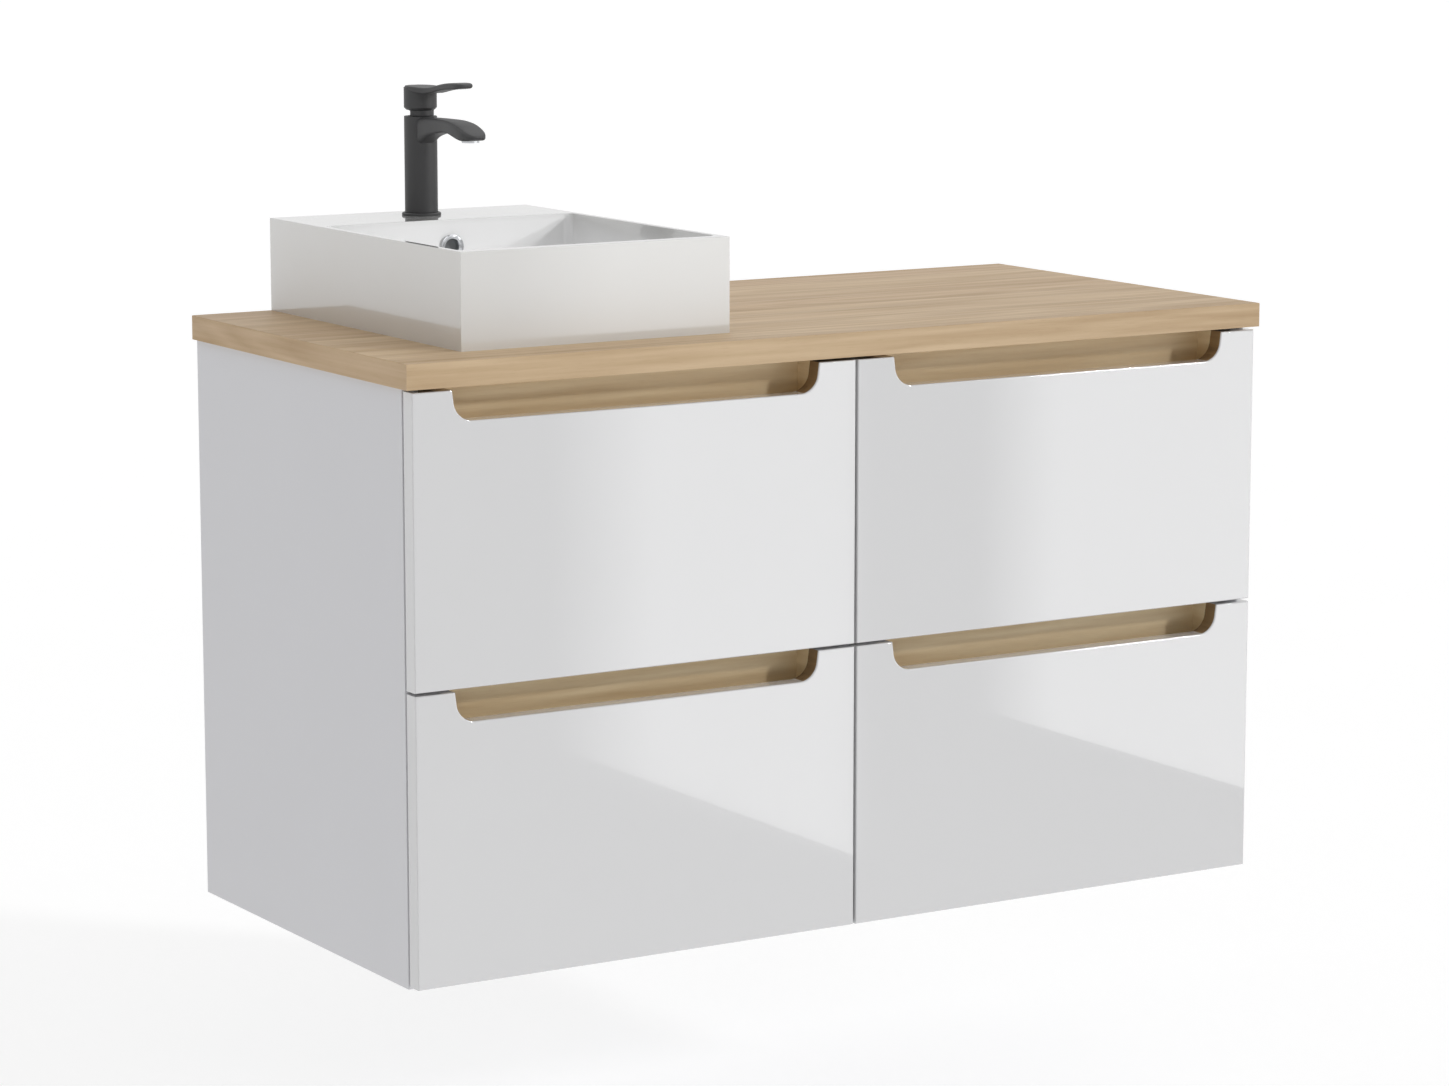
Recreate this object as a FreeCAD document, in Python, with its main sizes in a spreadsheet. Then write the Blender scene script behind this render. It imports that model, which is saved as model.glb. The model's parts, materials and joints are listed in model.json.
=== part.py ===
import FreeCAD, Part
import Sketcher
import math
import os
import re

# Wall-hung bathroom vanity with a ceramic vessel basin, a single-lever mixer and four drawers.
# Millimetres. +X is to the right seen from the front, +Y runs back to the wall, +Z is up.
# The origin lies under the middle of the cabinet, at the height of its underside.

SIZES = {
    # how far a cutting shape stands out of what it cuts
    "overrun": 1,
    # worktop
    "worktop_depth": 480,
    "worktop_overhang": 5,
    "worktop_thickness": 25,
    "worktop_edge_radius": 1,
    # carcass
    "cabinet_width": 1000,
    "cabinet_height": 585,
    "board": 18,
    "rail_depth": 80,
    "rail_height": 100,
    "rail_thickness": 16,
    "rail_setback": 3,
    "hanger_length": 90,
    "hanger_width": 70,
    "hanger_plate": 3,
    "hanger_hole_inset": 45,
    "hanger_hole_radius": 4.5,
    # drawer fronts
    "front_thickness": 18,
    "front_setback": 1,
    "front_shadow_gap": 2,
    "side_reveal": 1,
    "bottom_reveal": 3,
    "row_gap": 3,
    "top_gap": 3,
    "seam_gap": 3,
    "front_edge_radius": 1.5,
    "notch_margin": 43,
    "notch_drop": 30,
    "notch_slant": 4,
    "notch_radius": 20,
    "grip_room": 23,
    "grip_wall": 12,
    "grip_floor_drop": 18,
    # drawer boxes
    "drawer_back_gap": 61,
    "drawer_side": 15,
    "drawer_headroom": 38,
    "drawer_bottom": 12,
    "drawer_lift": 20,
    "trap_cutout_width": 150,
    "trap_cutout_front": 75,
    "surround_wall": 4,
    # runners
    "runner_space": 12.7,
    "runner_height": 36,
    "runner_depth": 9.7,
    "runner_wall": 2,
    "runner_gap": 0.5,
    "runner_rise": 30,
    # basin
    "basin_width": 302,
    "basin_depth": 420,
    "basin_height": 96,
    "basin_left_margin": 90,
    "basin_corner_radius": 3,
    "basin_edge_radius": 1.5,
    "rim": 10,
    "front_rim": 14,
    "tap_deck": 112,
    "deck_thickness": 14,
    "bowl_floor": 22,
    "bowl_slope": 12,
    "bowl_corner_radius": 20,
    "basin_wall": 12,
    "back_wall": 28,
    "overflow_drop": 28,
    "overflow_radius": 9,
    "overflow_channel_width": 28,
    "overflow_channel_depth": 8,
    "overflow_wall": 9,
    "overflow_floor": 7,
    "overflow_run_height": 7,
    "overflow_ring_radius": 13,
    "overflow_ring_lip": 1,
    "overflow_sleeve_wall": 1.2,
    # waste
    "waste_from_wall": 235,
    "waste_bore": 18,
    "waste_tube_radius": 22,
    "waste_tube_below": 70,
    "waste_flange_radius": 32,
    "waste_flange": 3,
    "waste_hole_gap": 1,
    "web_height": 5,
    "web_width": 14,
    "web_gap": 2,
    "waste_slot_width": 18,
    "plug_radius": 30,
    "plug_dome": 5,
    "plug_edge": 2,
    "plug_stem_radius": 5,
    "plug_stem_length": 40,
    "plug_gap": 0.3,
    "plug_travel": 8,
    "stem_clearance": 0.05,
    "locknut_height": 10,
    "locknut_radius": 32,
    "thread_gap": 0.05,
    # bottle trap
    "trap_nut_height": 22,
    "trap_nut_radius": 29,
    "trap_radius": 30,
    "trap_wall": 2.5,
    "trap_height": 80,
    "trap_cup_height": 36,
    "trap_dip_radius": 18,
    "dip_depth": 12,
    "trap_outlet_drop": 52,
    "socket_radius": 20,
    "socket_reach": 56,
    "outlet_radius": 16,
    "outlet_wall": 1.5,
    "outlet_step": 0.2,
    "outlet_gap": 0.5,
    "outlet_nut_radius": 25,
    "outlet_nut_length": 20,
    "outlet_entry": 18,
    "outlet_nut_clearance": 1,
    # mixer tap
    "tap_from_wall": 50,
    "tap_hole_radius": 17.5,
    "tap_ring_radius": 20.4,
    "tap_ring_height": 3,
    "tap_ring_bore": 10,
    "tap_body_radius": 17.2,
    "tap_body_height": 100,
    "tap_body_bore": 12.5,
    "cartridge_height": 30,
    "cartridge_gap": 0.05,
    "collar_radius": 13,
    "collar_height": 0.5,
    "spindle_radius": 4,
    "spindle_gap": 0.05,
    "spindle_depth": 15,
    "cap_groove": 6.5,
    "cap_height": 25,
    "cap_chamfer": 2.5,
    "cap_bore": 10.5,
    "cap_bore_depth": 15,
    "skirt_drop": 2,
    "skirt_radius": 12.5,
    "skirt_foot_radius": 10.2,
    "skirt_bore": 9.2,
    "lift_pin_rise": 8,
    "lift_pin_radius": 2,
    "lift_pin_gap": 0.3,
    "lever_reach": 103,
    "lever_width": 22,
    "lever_thickness": 4,
    "lever_climb": 7.5,
    "lever_tip_length": 50,
    "spout_reach": 128,
    "spout_width": 27,
    "spout_height": 15,
    "spout_drop": 12,
    "spout_fall": 6,
    "aerator_radius": 9,
    "aerator_bore": 5.4,
    "aerator_height": 4,
    "aerator_inset": 18,
    "aerator_drop": 3,
    "index_plug_radius": 2.5,
    "index_plug_depth": 2,
    "index_plug_rise": 3,
    "stud_radius": 4,
    "stud_length": 60,
    "stud_entry": 12,
    "clamp_washer_radius": 22,
    "clamp_washer_thickness": 3,
    "stud_nut_radius": 8,
    "stud_nut_height": 7,
    "hose_hole_radius": 25,
    "hose_hole_from_wall": 60,
}

# Places and lengths that follow from the sizes above. Words may use earlier or later words.
LAYOUT = {
    "worktop_width": "cabinet_width + 2 * worktop_overhang",
    "wall_y": "worktop_depth / 2",
    "worktop_top": "cabinet_height + worktop_thickness",
    "front_y": "front_setback - worktop_depth / 2",
    "front_back_y": "front_y + front_thickness",
    "panel_front_y": "front_back_y + front_shadow_gap",
    "panel_depth": "wall_y - panel_front_y",
    "inner_width": "cabinet_width - 2 * board",
    "front_height": "(cabinet_height - bottom_reveal - row_gap - top_gap) / 2",
    "front_width": "cabinet_width / 2 - side_reveal - seam_gap / 2",
    "front_centre": "(cabinet_width / 2 - side_reveal + seam_gap / 2) / 2",
    "notch_width": "front_width - 2 * notch_margin",
    "grip_depth": "grip_room + grip_wall",
    "grip_width": "notch_width + 2 * grip_wall",
    "grip_height": "notch_drop + grip_floor_drop + grip_wall",
    "rail_front_y": "front_back_y + grip_depth + rail_setback",
    "opening_width": "cabinet_width / 2 - board - board / 2",
    "opening_centre": "(cabinet_width / 2 - board + board / 2) / 2",
    "box_width": "opening_width - 2 * runner_space",
    "box_inner_width": "box_width - 2 * drawer_side",
    "side_centre": "(box_width - drawer_side) / 2",
    "drawer_length": "wall_y - drawer_back_gap - front_back_y",
    "box_back_y": "wall_y - drawer_back_gap",
    "drawer_side_height": "front_height - grip_height - drawer_headroom - drawer_lift",
    "drawer_back_height": "drawer_side_height - drawer_bottom",
    "runner_inner_height": "runner_height - 2 * runner_wall",
    "slide_height": "runner_inner_height - 2 * runner_gap",
    "slide_depth": "runner_space - runner_wall - runner_gap",
    "basin_x": "basin_left_margin + basin_width / 2 - worktop_width / 2",
    "basin_front_y": "wall_y - basin_depth",
    "basin_top": "worktop_top + basin_height",
    "bowl_front_y": "basin_front_y + front_rim",
    "bowl_back_y": "wall_y - tap_deck",
    "bowl_width": "basin_width - 2 * rim",
    "bowl_depth": "basin_height - bowl_floor",
    "waste_y": "wall_y - waste_from_wall",
    "waste_hole": "waste_tube_radius + waste_hole_gap",
    "overflow_floor_z": "worktop_top + overflow_floor",
    "flange_top": "worktop_top + bowl_floor + waste_flange",
    "tube_bottom": "cabinet_height - waste_tube_below",
    "trap_top": "tube_bottom",
    "trap_split": "trap_top - trap_height",
    "trap_bottom": "trap_split - trap_cup_height",
    "outlet_z": "trap_top - trap_outlet_drop",
    "socket_end": "waste_y + socket_reach",
    "tap_y": "wall_y - tap_from_wall",
    "body_top": "basin_top + tap_ring_height + tap_body_height",
    "cap_bottom": "body_top + cap_groove",
    "cap_top": "cap_bottom + cap_height",
    "lift_pin_z": "cap_bottom + lift_pin_rise",
    "spout_z": "body_top - spout_drop",
}

doc = FreeCAD.newDocument("VesselSinkVanity")
sheet = doc.addObject("Spreadsheet::Sheet", "Sizes")
for row, (word, number) in enumerate(SIZES.items(), start=1):
    sheet.set(f"A{row}", word.replace("_", " "))
    sheet.set(f"B{row}", str(number))
    sheet.setAlias(f"B{row}", word)
doc.recompute()

pieces = []


def bound(expression):
    """Spell an expression out until every word is a cell of the sheet."""

    def spell(match):
        word = match.group(0)
        if word in LAYOUT:
            return "(" + bound(LAYOUT[word]) + ")"
        return "Sizes." + word if word in SIZES else word

    return re.sub(r"[a-z][a-z_]*", spell, str(expression))


def bind(item, **expressions):
    """Bind properties of an object to the sheet."""
    for name, expression in expressions.items():
        item.setExpression(name, bound(expression))
    return item


def move(item, x, y, z):
    """Bind the place of an object to the sheet."""
    for name, expression in (("x", x), ("y", y), ("z", z)):
        item.setExpression(f"Placement.Base.{name}", bound(expression))
    return item


def keep(item, label):
    """Name a finished sub-part: its label is the name of its file."""
    item.Label = label
    pieces.append(item)
    return item


def box(x, y, z, width, depth, height):
    """A box centred on x, with its lowest y and z given."""
    item = doc.addObject("Part::Box", "Box")
    bind(item, Length=width, Width=depth, Height=height)
    return move(item, f"({x}) - ({width}) / 2", y, z)


def cylinder(x, y, z, radius, length, tilt=None):
    """A cylinder from its base centre, upright or turned by a rotation."""
    item = doc.addObject("Part::Cylinder", "Cylinder")
    bind(item, Radius=radius, Height=length)
    if tilt:
        item.Placement.Rotation = tilt
    return move(item, x, y, z)


def tube(x, y, z, radius, bore, length, tilt=None):
    """A round tube."""
    return cut(cylinder(x, y, z, radius, length, tilt), cylinder(x, y, z, bore, length, tilt))


def cut(base, *tools):
    """The base less each tool."""
    for tool in tools:
        item = doc.addObject("Part::Cut", "Cut")
        item.Base = base
        item.Tool = tool
        base = item
    return base


def fuse(*shapes):
    """One solid from shapes that touch."""
    item = doc.addObject("Part::MultiFuse", "Fuse")
    item.Shapes = list(shapes)
    item.Refine = True
    return item


def group(*shapes):
    """Separate solids that share one node."""
    item = doc.addObject("Part::Compound", "Group")
    item.Links = list(shapes)
    return item


def edges_where(shape, test):
    """The numbers of the edges whose middle point and direction pass a test."""
    found = []
    for number, edge in enumerate(shape.Edges, start=1):
        middle = edge.valueAt((edge.FirstParameter + edge.LastParameter) / 2)
        if test(edge, middle):
            found.append(number)
    return found


def along(edge, axis):
    """True for a straight edge that runs along an axis: 0 is X, 1 is Y and 2 is Z."""
    box_of_edge = edge.BoundBox
    spans = [box_of_edge.XLength, box_of_edge.YLength, box_of_edge.ZLength]
    return spans[axis] > 0.5 and all(span < 1e-4 for turn, span in enumerate(spans) if turn != axis)


def fillet(base, size, test):
    """Round the edges of an object that pass a test by a size of the sheet."""
    doc.recompute()
    radius = sheet.get(size)
    item = doc.addObject("Part::Fillet", "Fillet")
    item.Base = base
    item.Edges = [(number, radius, radius) for number in edges_where(base.Shape, test)]
    return item


def plane_of(body, role):
    """One of a body's own origin planes."""
    return next(item for item in body.Origin.OriginFeatures if item.Role == role)


def polygon_sketch(body, role, corners):
    """A closed sketch in which each corner is held by two distances from the origin."""
    sketch = body.newObject("Sketcher::SketchObject", "Outline")
    sketch.AttachmentSupport = [(plane_of(body, role), "")]
    sketch.MapMode = "FlatFace"
    count = len(corners)
    turns = [2 * math.pi * i / count for i in range(count)]
    ring = [FreeCAD.Vector(math.cos(turn), math.sin(turn), 0) for turn in turns]
    for i in range(count):
        sketch.addGeometry(Part.LineSegment(ring[i], ring[(i + 1) % count]), False)
    for i in range(count):
        sketch.addConstraint(Sketcher.Constraint("Coincident", i, 2, (i + 1) % count, 1))
    for i, corner in enumerate(corners):
        for kind, expression in zip(("DistanceX", "DistanceY"), corner):
            if str(expression) == "0":
                axis = -2 if kind == "DistanceX" else -1
                sketch.addConstraint(Sketcher.Constraint("PointOnObject", i, 1, axis))
                continue
            index = sketch.addConstraint(Sketcher.Constraint(kind, -1, 1, i, 1, 1.0))
            sketch.setExpression(f"Constraints[{index}]", bound(expression))
    return sketch


def turned(x, y, z, profile):
    """A body turned about an upright axis from corners given as radius and height."""
    body = doc.addObject("PartDesign::Body", "Turned")
    sketch = polygon_sketch(body, "XZ_Plane", profile)
    turn = body.newObject("PartDesign::Revolution", "Turn")
    turn.Profile = sketch
    turn.ReferenceAxis = (sketch, ["V_Axis"])
    turn.Angle = 360
    return move(body, x, y, z)


def padded(x, y, z, role, outline, thickness, backwards=False):
    """A body padded from an outline in one of its origin planes."""
    body = doc.addObject("PartDesign::Body", "Padded")
    sketch = polygon_sketch(body, role, outline)
    pad = body.newObject("PartDesign::Pad", "Thickness")
    pad.Profile = sketch
    pad.Reversed = backwards
    bind(pad, Length=thickness)
    return move(body, x, y, z)


def pocket(body, role, outline, depth, backwards=False):
    """Cut an outline out of a body, and make sure that it did cut."""
    doc.recompute()
    before = body.Shape.Volume
    sketch = polygon_sketch(body, role, outline)
    item = body.newObject("PartDesign::Pocket", "Opening")
    item.Profile = sketch
    item.Reversed = backwards
    bind(item, Length=depth)
    doc.recompute()
    if not body.Shape.Volume < before:
        raise RuntimeError(f"a pocket in {body.Label} cuts nothing")
    return body


def round_edges(body, size, test):
    """Add a fillet to the edges of a body that pass a test."""
    doc.recompute()
    base = body.Tip
    item = body.newObject("PartDesign::Fillet", "Rounding")
    item.Base = (base, [f"Edge{number}" for number in edges_where(base.Shape, test)])
    bind(item, Radius=size)
    return body


QUARTER_TURN = FreeCAD.Rotation(FreeCAD.Vector(1, 0, 0), 90)
TOWARDS_WALL = FreeCAD.Rotation(FreeCAD.Vector(1, 0, 0), -90)
ACROSS = FreeCAD.Rotation(FreeCAD.Vector(0, 1, 0), 90)
SIDES = (("left", -1), ("right", 1))


def wedge(x, y, z, low, high, height):
    """A block whose plan goes from one rectangle to another: each is (width, front y, back y)."""
    item = doc.addObject("Part::Wedge", "Wedge")
    item.Placement.Rotation = QUARTER_TURN
    bind(item, Xmin=f"-({low[0]}) / 2", Xmax=f"({low[0]}) / 2")
    bind(item, X2min=f"-({high[0]}) / 2", X2max=f"({high[0]}) / 2")
    bind(item, Ymin="0", Ymax=height, Zmin=f"-({low[2]})", Zmax=f"-({low[1]})")
    bind(item, Z2min=f"-({high[2]})", Z2max=f"-({high[1]})")
    return move(item, x, y, z)


def hex_nut(y, z, radius, thread, height):
    """A hexagon nut on an upright thread in the basin's middle plane."""
    nut = doc.addObject("Part::Prism", "Nut")
    nut.Polygon = 6
    bind(nut, Circumradius=radius, Height=height)
    move(nut, "basin_x", y, z)
    bore = f"{thread} + thread_gap"
    return cut(nut, cylinder("basin_x", y, f"{z} - overrun", bore, f"{height} + 2 * overrun"))


def make_carcass():
    """Side panels, divider, bottom, rails and the brackets that hang it on the wall."""
    for side, sign in SIDES:
        x = f"{sign} * (cabinet_width - board) / 2"
        panel = box(x, "panel_front_y", 0, "board", "panel_depth", "cabinet_height")
        keep(panel, f"{side}_side_panel")
    divider_depth = "wall_y - rail_thickness - panel_front_y"
    divider = box(0, "panel_front_y", "board", "board", divider_depth, "cabinet_height - 2 * board")
    keep(divider, "centre_divider")
    bottom = box(0, "panel_front_y", 0, "inner_width", "panel_depth", "board")
    keep(bottom, "bottom_panel")
    front_rail = box(0, "rail_front_y", "cabinet_height - board", "inner_width", "rail_depth", "board")
    keep(front_rail, "front_top_rail")
    rail_y = "wall_y - rail_thickness"
    rail_z = "cabinet_height - rail_height"
    top_rail = box(0, rail_y, rail_z, "inner_width", "rail_thickness", "rail_height")
    bolt_z = "cabinet_height - rail_height / 2"
    bolt_run = "rail_thickness + hanger_plate + 2 * overrun"
    brackets = []
    for _, sign in SIDES:
        bolt_x = f"{sign} * (inner_width / 2 - hanger_hole_inset)"
        bolt_hole = cylinder(bolt_x, "wall_y + overrun", bolt_z, "hanger_hole_radius", bolt_run, QUARTER_TURN)
        plate_x = f"{sign} * (inner_width - hanger_length) / 2"
        plate_y = f"{rail_y} - hanger_plate"
        plate = box(plate_x, plate_y, rail_z, "hanger_length", "hanger_plate", "hanger_width")
        ear_x = f"{sign} * (inner_width - hanger_plate) / 2"
        ear_y = f"{rail_y} - hanger_width"
        ear = box(ear_x, ear_y, rail_z, "hanger_plate", "hanger_width", "hanger_width")
        brackets.append(cut(fuse(plate, ear), bolt_hole))
        top_rail = cut(top_rail, bolt_hole)
    keep(top_rail, "back_top_rail")
    keep(box(0, rail_y, "board", "inner_width", "rail_thickness", "rail_height"), "back_bottom_rail")
    keep(group(*brackets), "wall_hangers")


def make_worktop():
    """Oak-decor worktop with holes for the waste and the supply hoses."""
    outline = [(0, 0), ("worktop_width", 0), ("worktop_width", "worktop_depth"), (0, "worktop_depth")]
    left_x = "-worktop_width / 2"
    body = padded(left_x, "-worktop_depth / 2", "cabinet_height", "XY_Plane", outline, "worktop_thickness")
    middle_height = sheet.get("worktop_thickness") / 2
    round_edges(body, "worktop_edge_radius", lambda edge, middle: middle.z > middle_height + 0.1)
    low_z = "cabinet_height - overrun"
    through = "worktop_thickness + 2 * overrun"
    waste = cylinder("basin_x", "waste_y", low_z, "waste_hole", through)
    hoses = cylinder("basin_x", "wall_y - hose_hole_from_wall", low_z, "hose_hole_radius", through)
    keep(cut(body, waste, hoses), "worktop")


def make_front(label, sign, low_z):
    """A gloss front with a finger notch in its top edge."""
    left_x = f"{sign} * front_centre - front_width / 2"
    outline = [(0, 0), ("front_width", 0), ("front_width", "front_height"), (0, "front_height")]
    body = padded(left_x, "front_y", low_z, "XZ_Plane", outline, "front_thickness", backwards=True)
    floor = "front_height - notch_drop"
    above = "front_height + overrun"
    notch = [
        ("notch_margin + notch_slant", floor),
        ("front_width - notch_margin - notch_slant", floor),
        ("front_width - notch_margin", above),
        ("notch_margin", above),
    ]
    pocket(body, "XZ_Plane", notch, "front_thickness")
    highest = max(corner.Z for corner in body.Tip.Shape.Vertexes)
    notch_floor = highest - sheet.get("notch_drop")

    def notch_corner(edge, middle):
        return along(edge, 1) and abs(middle.z - notch_floor) < 0.1

    round_edges(body, "notch_radius", notch_corner)
    round_edges(body, "front_edge_radius", lambda edge, middle: abs(middle.y) < 0.01)
    return keep(body, label)


def trap_cutout(width, reach, low_z):
    """The space that the trap takes out of a drawer box: from a reach in front of the waste, back."""
    depth = f"box_back_y - waste_y + ({reach}) + overrun"
    height = "drawer_side_height + 2 * overrun"
    return box("basin_x", f"waste_y - ({reach})", f"({low_z}) - overrun", width, depth, height)


def make_drawer(side, row, sign, low_z):
    """One drawer: front, oak grip channel, box and the moving members of its runners."""
    name = f"{row}_{side}_drawer"
    make_front(f"{name}_front", sign, low_z)
    top_z = f"({low_z}) + front_height"
    grip_x = f"{sign} * front_centre"
    channel = box(grip_x, "front_back_y", f"{top_z} - grip_height", "grip_width", "grip_depth", "grip_height")
    room_z = f"{top_z} - grip_height + grip_wall"
    room = box(grip_x, "front_back_y - overrun", room_z, "notch_width", "grip_room + overrun", "grip_height")
    keep(cut(channel, room), f"{name}_grip")
    centre = f"{sign} * opening_centre"
    box_z = f"({low_z}) + drawer_lift"
    for hand, turn in SIDES:
        side_x = f"{centre} + {turn} * side_centre"
        board = box(side_x, "front_back_y", box_z, "drawer_side", "drawer_length", "drawer_side_height")
        keep(board, f"{name}_{hand}_side")
    bottom = box(centre, "front_back_y", box_z, "box_inner_width", "drawer_length", "drawer_bottom")
    back_y = "box_back_y - drawer_side"
    back_z = f"{box_z} + drawer_bottom"
    back = box(centre, back_y, back_z, "box_inner_width", "drawer_side", "drawer_back_height")
    if name == "upper_left_drawer":
        cutout = trap_cutout("trap_cutout_width", "trap_cutout_front", box_z)
        bottom = cut(bottom, cutout)
        back = cut(back, cutout)
        outer_depth = "box_back_y - waste_y + trap_cutout_front"
        outer_y = "waste_y - trap_cutout_front"
        outer = box("basin_x", outer_y, box_z, "trap_cutout_width", outer_depth, "drawer_side_height")
        inner_width = "trap_cutout_width - 2 * surround_wall"
        inner = trap_cutout(inner_width, "trap_cutout_front - surround_wall", box_z)
        keep(cut(outer, inner), f"{name}_trap_surround")
    keep(bottom, f"{name}_bottom")
    keep(back, f"{name}_back")
    slides = []
    for _, turn in SIDES:
        slide_x = f"{centre} + {turn} * (box_width + slide_depth) / 2"
        slide_z = f"{box_z} + runner_rise + runner_wall + runner_gap"
        slides.append(box(slide_x, "panel_front_y", slide_z, "slide_depth", "drawer_length", "slide_height"))
    keep(group(*slides), f"{name}_runner_slides")


def runner_rail(centre, turn, low_z):
    """One fixed runner channel, open towards the drawer."""
    rail_z = f"({low_z}) + drawer_lift + runner_rise"
    rail_x = f"{centre} + {turn} * (opening_width - runner_depth) / 2"
    room_x = f"{centre} + {turn} * (opening_width / 2 - runner_wall - runner_depth / 2)"
    rail = box(rail_x, "panel_front_y", rail_z, "runner_depth", "drawer_length", "runner_height")
    room_z = f"{rail_z} + runner_wall"
    room_length = "drawer_length + 2 * overrun"
    room = box(room_x, "panel_front_y - overrun", room_z, "runner_depth", room_length, "runner_inner_height")
    return cut(rail, room)


def make_basin():
    """Rectangular vessel basin: bowl in front, tap deck behind, overflow passage in the walls."""
    block = box("basin_x", "basin_front_y", "worktop_top", "basin_width", "basin_depth", "basin_height")
    block = fillet(block, "basin_corner_radius", lambda edge, middle: along(edge, 2))
    low = ("bowl_width - 2 * bowl_slope", "bowl_front_y + bowl_slope", "bowl_back_y - bowl_slope")
    high = ("bowl_width", "bowl_front_y", "bowl_back_y")
    bowl = wedge("basin_x", 0, "worktop_top + bowl_floor", low, high, "bowl_depth")
    doc.recompute()
    bowl_top = max(corner.Z for corner in bowl.Shape.Vertexes)
    bowl = fillet(bowl, "bowl_corner_radius", lambda edge, middle: middle.z < bowl_top - 0.1)
    pocket_y = "bowl_back_y + back_wall"
    pocket_width = "basin_width - 2 * basin_wall"
    pocket_depth = f"wall_y - basin_wall - ({pocket_y})"
    low_z = "worktop_top - overrun"
    pocket_height = "basin_height - deck_thickness + overrun"
    hollow = box("basin_x", pocket_y, low_z, pocket_width, pocket_depth, pocket_height)
    waste_hole = cylinder("basin_x", "waste_y", low_z, "waste_hole", "basin_height")
    tap_hole = cylinder("basin_x", "tap_y", low_z, "tap_hole_radius", "basin_height + 2 * overrun")
    overflow_z = "basin_top - overflow_drop"
    overflow_y = "bowl_back_y - bowl_slope"
    channel_y = "bowl_back_y + overflow_wall"
    into_wall = f"{channel_y} + overflow_channel_depth - ({overflow_y})"
    overflow = cylinder("basin_x", overflow_y, overflow_z, "overflow_radius", into_wall, TOWARDS_WALL)
    drop = f"{overflow_z} + overflow_radius - overflow_floor_z"
    width = "overflow_channel_width"
    down = box("basin_x", channel_y, "overflow_floor_z", width, "overflow_channel_depth", drop)
    run = f"{channel_y} + overflow_channel_depth - waste_y"
    under = box("basin_x", "waste_y", "overflow_floor_z", width, run, "overflow_run_height")
    basin = cut(block, bowl, hollow, waste_hole, tap_hole, overflow, down, under)
    doc.recompute()
    top = max(corner.Z for corner in basin.Shape.Vertexes)

    def rim_edge(edge, middle):
        return middle.z > top - 0.1 and not edge.isClosed()

    keep(fillet(basin, "basin_edge_radius", rim_edge), "basin")
    ring_low = "(overflow_drop + overflow_ring_radius)"
    ring_y = f"bowl_back_y - bowl_slope * {ring_low} / bowl_depth - overflow_ring_lip"
    sleeve_length = f"{channel_y} - ({ring_y})"
    sleeve = "overflow_radius - thread_gap"
    bore = f"{sleeve} - overflow_sleeve_wall"
    lip = tube("basin_x", ring_y, overflow_z, "overflow_ring_radius", bore, "overflow_ring_lip", TOWARDS_WALL)
    pipe = tube("basin_x", ring_y, overflow_z, sleeve, bore, sleeve_length, TOWARDS_WALL)
    keep(fuse(lip, pipe), "overflow_ring")


def make_waste():
    """Click-clack waste: threaded body with a web that guides the plug's stem, and its nut."""
    length = "flange_top - tube_bottom"
    shoulder = f"{length} - waste_flange"
    profile = [
        ("waste_bore", 0),
        ("waste_tube_radius", 0),
        ("waste_tube_radius", shoulder),
        ("waste_flange_radius", shoulder),
        ("waste_flange_radius", length),
        ("waste_bore", length),
    ]
    shell = turned("basin_x", "waste_y", "tube_bottom", profile)
    web_z = "flange_top - plug_stem_length + plug_travel + web_gap"
    web_depth = "2 * (waste_bore + overrun)"
    web = box("basin_x", "waste_y - waste_bore - overrun", web_z, "web_width", web_depth, "web_height")
    guide_z = f"{web_z} - overrun"
    guide_radius = "plug_stem_radius + stem_clearance"
    guide = cylinder("basin_x", "waste_y", guide_z, guide_radius, "web_height + 2 * overrun")
    slot_depth = "2 * waste_hole"
    slot_y = "waste_y - waste_hole"
    slot = box("basin_x", slot_y, "overflow_floor_z", "waste_slot_width", slot_depth, "overflow_run_height")
    keep(cut(fuse(shell, web), guide, slot), "waste_body")
    plug = [
        (0, 0),
        ("plug_stem_radius", 0),
        ("plug_stem_radius", "plug_stem_length"),
        ("plug_radius", "plug_stem_length"),
        ("plug_radius - plug_edge", "plug_stem_length + plug_dome / 2"),
        ("plug_radius / 2", "plug_stem_length + plug_dome"),
        (0, "plug_stem_length + plug_dome"),
    ]
    keep(turned("basin_x", "waste_y", "flange_top + plug_gap - plug_stem_length", plug), "waste_plug")
    nut_z = "cabinet_height - locknut_height"
    keep(hex_nut("waste_y", nut_z, "locknut_radius", "waste_tube_radius", "locknut_height"), "waste_locknut")


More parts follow.
